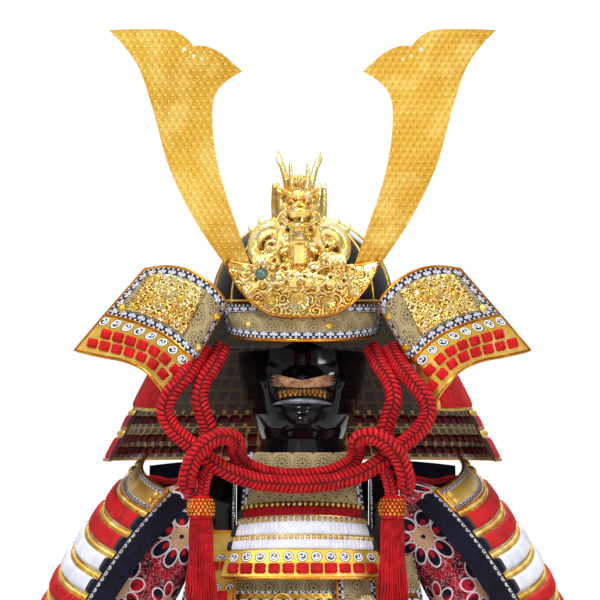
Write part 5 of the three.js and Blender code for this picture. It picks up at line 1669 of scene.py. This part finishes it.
def bend(x):
    return np.sqrt(1 - (x / strap["curve"]) ** 2)


def strapSheet(side):
    def sheet(u, v):
        u, v = np.broadcast_arrays(np.asarray(u, float), np.asarray(v, float))
        x = strap["out"] + lerp(-1, 1, v) * strap["halfWidth"]
        line = strapLine(u)
        return stack(side * x, line[..., 1] * bend(x) / bend(strap["out"]), line[..., 2])

    return sheet


for hand, side in (("left", 1), ("right", -1)):
    sheet = strapSheet(side)
    parts = [shell(sheet, even(70), even(12), lambda s, t, u, v: strap["thick"] * (0.75 + 0.25 * np.sin(math.pi * v) ** 0.4), 0, side=-side, paint="lacquer")]
    parts.append(frameBand(sheet, 0.01, 0.99, 0.02, 0.98, 5, strap["thick"] * 0.8 + 0.3, -side, "roundelBand"))
    piece(f"shoulder_strap_{hand}_padded", parts, "black_lacquer", f"shoulder_strap_{hand}")

# shoulder guards
guard = {"frontY": -95, "depth": 235, "backOut": 26, "backRise": 42, "belly": 72, "plateRise": 24, "plateIn": 23}
guardEdges = [(183, -36), (204, -61), (223, -86), (240, -111), (256, -136), (270, -161), (288, -205)]
guardSilks = ["redSilk", "redSilk", "whiteSilk", "whiteSilk", "redSilk", "redSilk"]


def guardSheet(side, upper, lower):
    def sheet(u, v):
        share = lerp(neck["lameSeam"] / (upper[1] - lower[1]), 1, np.asarray(v, float))
        out, z = lerp(upper[0], lower[0], share), lerp(upper[1], lower[1], share)
        return stack(side * (out + guard["backOut"] * u + guard["belly"] * u * (1 - u)), guard["frontY"] + guard["depth"] * u, z + guard["backRise"] * u)

    return sheet


for hand, side in (("left", 1), ("right", -1)):
    first = guardEdges[0]
    sheet = guardSheet(side, (first[0] - guard["plateIn"], first[1] + guard["plateRise"]), first)
    name = f"shoulder_guard_{hand}"
    parts = [shell(sheet, even(80), even(10), side=-side, paint="sheetGold", back="navyCloth", edge="rimGold")]
    parts.append(frameBand(sheet, 0, 1, 0, 1, 6.5, 0.5, -side, "treeBand"))
    piece(f"{name}_top_leather", parts, "stencilled_leather", f"{name}_top_plate")
    buttonRows.append(place(sheet, [0.075, 0.075, 0.925, 0.925], [0.35, 0.68, 0.35, 0.68], 0.4, -side, 1.15))
    rims.append(frameLine(sheet, 0, 1, 0, 1, 0.2, -side))
    for i, silk in enumerate(guardSilks):
        sheet = guardSheet(side, guardEdges[i], guardEdges[i + 1])
        part = lacedPlate(sheet, -side, silk, 1.4)
        part.paint = ["navyCloth" if n == "lacquer" else n for n in part.paint]
        piece(f"{name}_laced_{i + 1}", [part], "white_silk" if silk == "whiteSilk" else "red_silk", f"{name}_lame_{i + 1}")
        heads(sheet, -side)
    rims.append(onSheet(sheet, even(60), np.full(60, 1.0), -1.2, -side))

# navy cloth: a strip inside each guard's front edge, a standing collar and a flap over each shoulder
lining = {"width": 30, "border": 6.5, "inset": 1.5, "back": 13, "thin": 0.8}
collar = {"halfWidth": 79, "halfDepth": 96, "turn": 122, "top": 16, "foot": -58, "drop": 34}
flap = {"in": 84, "out": 184, "front": 25, "back": 62, "low": -8, "high": 23}


def stretchedCloth(name, sheet, across, down, side, paint):
    part = shell(sheet, even(across), even(down), lambda s, t, u, v: 0.35 * np.sin(s / 7 + 3 * v) * np.sin(math.pi * u) * np.sin(math.pi * v), -lining["thin"], side=side, paint=paint, back="navyCloth")
    part.uv[..., 1] -= lining["border"] / 2
    made = piece(name, [part], "brocade")
    grid = part.points[: across * down].reshape(across, down, 3)
    wide, tall = float(runOf(grid[:, down // 2])[-1]) * mm, float(runOf(grid[across // 2])[-1]) * mm


def liningSheet(side):
    first = (guardEdges[0][0] - guard["plateIn"], guardEdges[0][1] + guard["plateRise"])
    edge = smoothLine([(side * x, guard["frontY"] + lining["inset"], z) for x, z in [first] + guardEdges])
    inward = np.array([-0.87 * side, 0, -0.49])

    def sheet(u, v):
        u, v = np.broadcast_arrays(np.asarray(u, float), np.asarray(v, float))
        return edge(u) + v[..., None] * (inward * lining["width"] + (0, lining["back"], 0))

    return sheet


def collarSheet(u, v):
    u, v = np.broadcast_arrays(np.asarray(u, float), np.asarray(v, float))
    turn = np.radians(lerp(-collar["turn"], collar["turn"], u))
    z = lerp(collar["top"] - collar["drop"] * np.abs(2 * u - 1) ** 6, collar["foot"], v)
    deep = np.where(np.cos(turn) > 0, collar["halfDepth"], 60)
    return stack(collar["halfWidth"] * np.sign(np.sin(turn)) * np.abs(np.sin(turn)) ** 0.8, deep * np.cos(turn), z)


def flapSheet(side):
    def sheet(u, v):
        u, v = np.broadcast_arrays(np.asarray(u, float), np.asarray(v, float))
        y, z = lerp(flap["front"], flap["back"], v), lerp(flap["low"], flap["high"], v)
        return stack(side * lerp(flap["in"], flap["out"], u), y, z - 7 * u**2)

    return sheet


def liningPaint(s, t, u, v):
    return np.where(t < lining["border"], "roundelBand", "navyCloth").tolist()


for hand, side in (("left", 1), ("right", -1)):
    stretchedCloth(f"guard_lining_{hand}", liningSheet(side), 70, 10, -side, liningPaint)
    stretchedCloth(f"shoulder_flap_{hand}", flapSheet(side), 24, 10, -side, liningPaint)
stretchedCloth("standing_collar", collarSheet, 72, 14, 1, "navyCloth")
print("bib, cuirass, shoulder guards and navy cloth made")

# sleeves
sleeveRings = np.array([
    (107.2, 8, -47, 50, 50, 78), (150, 6, -58, 56, 50, 62), (177, 2, -88, 52, 47, 40), (198, -4, -140, 48, 43, 20), (217, -10, -210, 46, 41, 14),
    (231, -16, -290, 43, 39, 9), (239, -27, -370, 40, 37, 5), (243, -42, -450, 36, 33, 2), (245, -58, -530, 31, 27, 0),
], float)


def sleeveSheet(side):
    def sheet(u, v):
        u, v = np.broadcast_arrays(np.asarray(u, float), np.asarray(v, float))
        rows = np.clip(v, 0, 1) * (len(sleeveRings) - 1)
        out, y, z, deep, half, lean = [np.interp(rows, range(len(sleeveRings)), column) for column in sleeveRings.T]
        turn = 2 * math.pi * u
        across = half * np.cos(turn)
        return stack(side * (out + across * np.cos(np.radians(lean))), y + deep * np.sin(turn), z + across * np.sin(np.radians(lean)))

    return sheet


def sleeveFolds(s, t, u, v):
    swing = 1.6 * np.sin(t / 19 + 1.2 * np.sin(2 * math.pi * u)) * np.sin(math.pi * np.clip(v, 0, 1)) ** 0.5
    return swing * (0.55 + 0.45 * np.sin(4 * math.pi * u + t / 60)) - 0.6


for hand, side in (("left", 1), ("right", -1)):
    sheet = sleeveSheet(side)
    wall = 2.0
    part = shell(sheet, even(61), even(80), lambda s, t, u, v: wall + sleeveFolds(s, t, u, v), 0, side=-side, ring=True, paint="brocade", back="innerCloth")
    us, vs = np.meshgrid(even(61)[:-1], even(80), indexing="ij")
    half = len(part.points) // 2
    part.points[half:] = part.points[:half] - normalOf(sheet, us, vs, -side, True).reshape(-1, 3) * wall
    made = piece(f"sleeve_{hand}_brocade", [part], "brocade", f"sleeve_{hand}")
    front = part.points[: len(part.points) // 2].reshape(60, 80, 3)
    area = 0.0
    p, q = front, np.roll(front, -1, 0)
    area += np.linalg.norm(np.cross(q[:, :-1] - p[:, :-1], p[:, 1:] - p[:, :-1]), axis=-1).sum() / 2
    area += np.linalg.norm(np.cross(q[:, :-1] - q[:, 1:], p[:, 1:] - q[:, 1:]), axis=-1).sum() / 2
    wide = float(np.linalg.norm(np.diff(np.concatenate([front, front[:1]]), axis=0), axis=-1).sum(0).max()) * mm

# skirts
skirt = {"top": -382.35, "bottom": -640, "lames": 4, "halfWidth": 222, "halfDepth": 186, "spread": 37}
waistOut, waistFront = [float(a) for a in bandAt(chestBands, np.array(skirt["top"]))]


def skirtSheet(middle):
    def sheet(u, v):
        turn = np.radians(middle + lerp(-skirt["spread"], skirt["spread"], u))
        out, front = lerp(waistOut, skirt["halfWidth"], v), lerp(waistFront, skirt["halfDepth"], v)
        return stack(out * np.sin(turn), centreY - front * np.cos(turn), lerp(skirt["top"], skirt["bottom"], v))

    return sheet


for name, middle in (("front", 0), ("left", 90), ("back", 180), ("right", 270)):
    sheet = skirtSheet(middle)
    part = lacedPlate(sheet, -1, "redSilk", rows=skirt["lames"], fine=1.9)
    piece(f"skirt_{name}_laced", [part], "red_silk", f"skirt_{name}")
    heads(sheet, -1, skirt["lames"])
    rims.append(onSheet(sheet, even(50), np.full(50, 1.0), -1.2, -1))
    knots(sheet, -1, (0.985,), 15, 0.03, 0.97, -0.5, 0.5)

# ties from each guard to its strap
tieLine = np.array([(106, 18, 8), (120, 16, 8), (136, 13, 1.4), (160, 12, -2), (178, 12, 2), (191, 12, 1)], float)
for hand, side in (("left", 1), ("right", -1)):
    points, run = evenly(smoothLine(tieLine * (side, 1, 1)), 0.9)
    part = plaitedTube(points, 4, 20, 2.6, 0.7)
    made = piece(f"guard_tie_{hand}_plait", [part], "red_silk", f"guard_tie_{hand}", smoothAngle=180)
print("sleeves, skirts and ties made")

# dragon crest: swelling limbs and lumps, cast together by one remesh
crestX = -4
crest = {"voxel": 1.45, "scale": 4.2}
shift = np.array([crestX, 0, 0], float)
dragonParts = []


def scaled(run, turn):  # rows of small round scales
    row = run / crest["scale"]
    col = turn / (2 * math.pi) * 12 + 0.5 * (np.floor(row) % 2)
    near = np.hypot(row - np.floor(row) - 0.5, col - np.floor(col) - 0.5)
    return 1.1 * np.sqrt(np.maximum(0, 1 - (near / 0.62) ** 2)) - 0.5


def limb(points, widths, both=True, rise=None, sides=16, steps=44):
    line = smoothLine(points)(even(steps))
    radii = np.interp(even(steps), even(len(widths)), widths)
    for hand in (1, -1) if both else (1,):
        dragonParts.append(tube(line * (hand, 1, 1) + shift, radii, sides, "castGold", rise))


def lump(x, y, z, wide, deep, tall, both=False):
    for hand in (1, -1) if both else (1,):
        dragonParts.append(ball((hand * x + crestX, y, z), (wide, deep, tall), "castGold", 14, 20))


def blade(outline, front, back):  # a flat fin on each side, from its outline of (x, z)
    outline = np.array(outline, float)
    count = len(outline)
    middle = outline.mean(0)
    for hand in (1, -1):
        rings = [stack(hand * outline[:, 0] + crestX, y + 0 * outline[:, 0], outline[:, 1]) for y in (front, back)]
        centres = [[[hand * middle[0] + crestX, y, middle[1]]] for y in (front - 2.5, back + 1)]
        k = np.arange(count)
        n = (k + 1) % count
        faces = np.concatenate([
            np.stack([k, n, n + count, k + count], 1),
            np.stack([n, k, 0 * k + 2 * count, 0 * k + 2 * count], 1),
            np.stack([k + count, n + count, 0 * k + 2 * count + 1, 0 * k + 2 * count + 1], 1),
        ])
        dragonParts.append(Part(np.concatenate(rings + centres), faces, np.zeros((len(faces), 4, 2)), "castGold"))


# body, throat and head
lump(0, -146, 257, 46, 14, 24)
lump(0, -146, 240, 34, 11.5, 12)
lump(0, -163, 262, 20, 13, 22)
limb([(0, -166, 262), (0, -174, 288), (0, -174, 318)], [14, 12.5, 12], False, scaled)
for k in range(8):
    lump(0, -180.5 + 0.9 * k, 306 - 6.4 * k, 10.8 - 0.2 * k, 6.5, 3.1)
lump(0, -174, 334, 19, 17, 14)
lump(0, -176, 352, 6.5, 8, 14)
lump(3.6, -179, 360, 2.4, 6, 6, True)
lump(16, -178, 322, 6.5, 11, 10, True)
lump(0, -193, 326, 12, 15, 6.2)
lump(0, -205, 330, 5.5, 4, 4)
lump(5.6, -207, 327, 3.4, 3.2, 3.0, True)
lump(9.5, -191, 335, 3.6, 4.2, 3.0, True)
limb([(2.5, -196, 337), (10, -196, 341), (18, -190, 345), (24, -182, 350)], [2.4, 3.4, 2.8, 1.0])
limb([(14, -186, 326), (14.5, -196, 322), (9, -206, 321), (0, -209, 322)], [3.0, 2.6, 2.3, 2.2])
limb([(13, -186, 310), (12, -195, 306), (6, -203, 305), (0, -205, 305.5)], [3.0, 2.6, 2.3, 2.2])
lump(0, -190, 304, 10, 11, 3.6)
limb([(15, -182, 322), (17.5, -184, 312), (13, -186, 305)], [4.2, 4.6, 3.2])
for k in range(-4, 5):
    front = -208 + 0.35 * k * k
    limb([(2.6 * k, front, 321), (2.6 * k, front - 0.4, 317), (2.6 * k, front - 0.2, 312.8 - (2 if abs(k) == 3 else 0))], [1.5, 1.3, 0.5], False, None, 6, 6)
    limb([(2.3 * k, front + 4, 306), (2.3 * k, front + 3.8, 309), (2.3 * k, front + 4, 311)], [1.0, 0.8, 0.4], False, None, 6, 6)
# antlers, prongs, ears, whiskers and mane
limb([(13, -176, 346), (17, -172, 364), (21.5, -167, 380), (25, -164, 395)], [4.6, 3.9, 3.3, 1.0])
limb([(19, -170, 371), (24, -168, 379), (28, -166, 388)], [3.0, 2.4, 0.8])
limb([(8.5, -182, 346), (10, -180, 362), (10.5, -178, 379)], [3.4, 2.7, 2.0])
limb([(18, -178, 340), (24, -174, 348), (26, -171, 357)], [4.4, 3.4, 1.0])
limb([(16, -196, 322), (23, -198, 318), (27, -194, 308), (24, -190, 298)], [1.6, 1.5, 1.3, 0.7])
blade([(15, 296), (32, 299), (33.5, 330), (32, 358), (25, 343), (17, 338)], -171, -163)
blade([(17, 294), (24, 298), (25.5, 330), (27, 348), (20, 338)], -179, -171)
for k in range(5):
    limb([(17 + k, -180 + 2 * k, 304 - 3 * k), (22 + 1.2 * k, -182 + 2 * k, 300 - 6 * k), (24 + 2 * k, -180 + 2 * k, 288 - 8 * k)], [3.2, 2.6, 0.7])
# arms and claws
limb([(13, -168, 284), (32, -172, 302), (50, -172, 291), (54, -177, 272), (46, -187, 258)], [11, 10, 8.5, 7, 5.5], True, scaled, 24)
lump(24, -168, 294, 13, 12, 12, True)
for path in ([(50, -168, 294), (57, -164, 299), (61, -160, 306)], [(40, -170, 302), (46, -168, 308), (47, -164, 315)]):
    limb(path, [4.4, 3.4, 0.8])
lump(38, -160, 274, 17, 8, 20, True)
for k in range(4):
    spread = (k - 1.5) * 4.4
    grip = np.array([45, -188, 266], float)
    limb([grip + (spread * 0.3, 0, 0), grip + (spread, -8, 1), grip + (spread * 1.4, -13, -4), grip + (spread * 1.2, -15.5, -13.5)], [4.0, 3.8, 2.8, 0.9], True, None, 10, 16)
# clouds and flames round the foot
for k, (x, y, z, wide) in enumerate([
    (17, -176, 252, 8), (31, -174, 262, 7.5), (24, -178, 240, 7.5), (38, -176, 242, 7), (8, -184, 244, 7), (33, -172, 281, 8), (52, -166, 240, 7), (62, -160, 252, 6), (39, -172, 266, 8),
]):
    for hand in (1, -1):
        t = even(30)
        r = wide * (1 - t) ** 0.8 + 1.0
        turn = hand * (1.2 * k + 9.5 * t)
        dragonParts.append(tube(stack(hand * x + r * np.cos(turn), y - 4 - 3 * t, z + r * np.sin(turn)) + shift, 2.3 - 0.8 * t, 8, "castGold"))
        dragonParts.append(ball((hand * x + crestX, y + 3, z), (wide + 1, 6, wide + 1), "castGold", 10, 14))
for x in (-56, -36, -18, 0, 18, 36, 56):
    limb([(x, -160, 236), (x * 1.05 + 4, -168, 232), (x * 1.1, -170, 224)], [5, 4, 1.2], False)
dragon = piece("dragon_casting", dragonParts, "gilt", "dragon_crest")
remesh = dragon.modifiers.new("cast", "REMESH")
remesh.mode, remesh.voxel_size = "VOXEL", crest["voxel"] * mm
bpy.context.view_layer.update()
graph = bpy.context.evaluated_depsgraph_get()
cast = bpy.data.meshes.new_from_object(dragon.evaluated_get(graph), depsgraph=graph)
dragon.modifiers.clear()
dragon.data = cast
cast.materials.clear()
# faces inside the open mouth get the dark red mouth material, a painted shade
for paint in ("castGold", "mouthRed"):
    cast.materials.append(materials[paint])
centres = np.empty(len(cast.polygons) * 3)
cast.polygons.foreach_get("center", centres)
gap = (centres.reshape(-1, 3) / mm - (crestX, -196, 313.5)) / (10.5, 10, 3.6)
cast.polygons.foreach_set("material_index", ((gap**2).sum(1) < 1).astype(int))
cast.polygons.foreach_set("use_smooth", [True] * len(cast.polygons))
shadeCrevices(dragon, 5, 0.8)
print("dragon faces", len(cast.polygons))
piece("crest_stone", [ball((crestX - 45, -194, 247.5), (8, 8, 8), "jewel", 18, 24)], "green_glass", "crest_jewel")
print("dragon made")

# studs, heads and knots, each set out by the one tree
scatter("flower_studs", "gilt", shapeOf["flower"], studRows, "gold")
scatter("round_studs", "gilt", shapeOf["button"], buttonRows, "sheetGold")
scatter("scale_heads", "gilt", shapeOf["head"], headRows, "gold", 1.0, 0.06)
scatter("lacing_knots", "red_silk", shapeOf["knot"], knotRows, "redSilk", 1.0, 0.05)
# knots on the neck guard's inside take the dark silk copy, painted shade
scatter("inner_knots", "red_silk", shapeOf["knot"], shadedKnotRows, "deepRedSilk", 1.0, 0.05)
rolled("rolled_rims", "gilt", rims, 2.2, "rimGold", 6)
for shape in shapes:
    bpy.data.objects.remove(shape)

# floor and light
def slab(name, corners, color, glow):
    mesh = bpy.data.meshes.new(name)
    mesh.from_pydata(corners, [], [(0, 1, 2, 3)])
    made = bpy.data.objects.new(name, mesh)
    bpy.context.scene.collection.objects.link(made)
    material = bpy.data.materials.new(name)
    material.use_nodes = True
    shader = material.node_tree.nodes["Principled BSDF"]
    shader.inputs["Base Color"].default_value = color
    shader.inputs["Roughness"].default_value = 0.9
    shader.inputs["Emission Color"].default_value = (1, 1, 1, 1)
    shader.inputs["Emission Strength"].default_value = glow
    mesh.materials.append(material)
    made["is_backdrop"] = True


slab("floor", [(-6, -6, -0.665), (6, -6, -0.665), (6, 6, -0.665), (-6, 6, -0.665)], (0.82, 0.82, 0.81, 1), 0.0)

lamps = [
    {"name": "key", "place": (-1.0, -2.3, 2.6), "aim": (0, 0, 0.1), "size": 0.6, "power": 66},
    {"name": "fill", "place": (1.5, -2.9, 1.1), "aim": (0, 0, 0.1), "size": 0.6, "power": 26},
    {"name": "top", "place": (0, -0.3, 2.6), "aim": (0, 0, 0.2), "size": 1.4, "power": 30},
    {"name": "back", "place": (0.6, 2.4, 1.8), "aim": (0, 0, 0.1), "size": 1.5, "power": 25},
]
for row in lamps:
    data = bpy.data.lights.new(row["name"], "AREA")
    data.size, data.energy = row["size"], row["power"]
    lamp = bpy.data.objects.new(row["name"], data)
    lamp.location = row["place"]
    aim = np.array(row["aim"]) - np.array(row["place"])
    lamp.rotation_euler = Vector(aim).to_track_quat("-Z", "Y").to_euler()
    bpy.context.scene.collection.objects.link(lamp)

world = bpy.data.worlds.new("studio")
bpy.context.scene.world = world
world.use_nodes = True
g = Graph(world.node_tree)
up = g.split(g.add("ShaderNodeTexCoord").outputs["Generated"])[2]
seen = Value(g, g.add("ShaderNodeLightPath").outputs["Is Camera Ray"])
shade = g.smooth(up, -0.1, 0.7) * 0.85 + 0.15
background = world.node_tree.nodes["Background"]
g.feed(background.inputs["Color"], g.mix(seen, g.mix(shade, rgb("6a665f"), rgb("ffffff")), rgb("ffffff")))
g.feed(background.inputs["Strength"], seen * 0.25 + 0.8)

size = {"cad": cadBox, "visual": [list(corner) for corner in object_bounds()]}
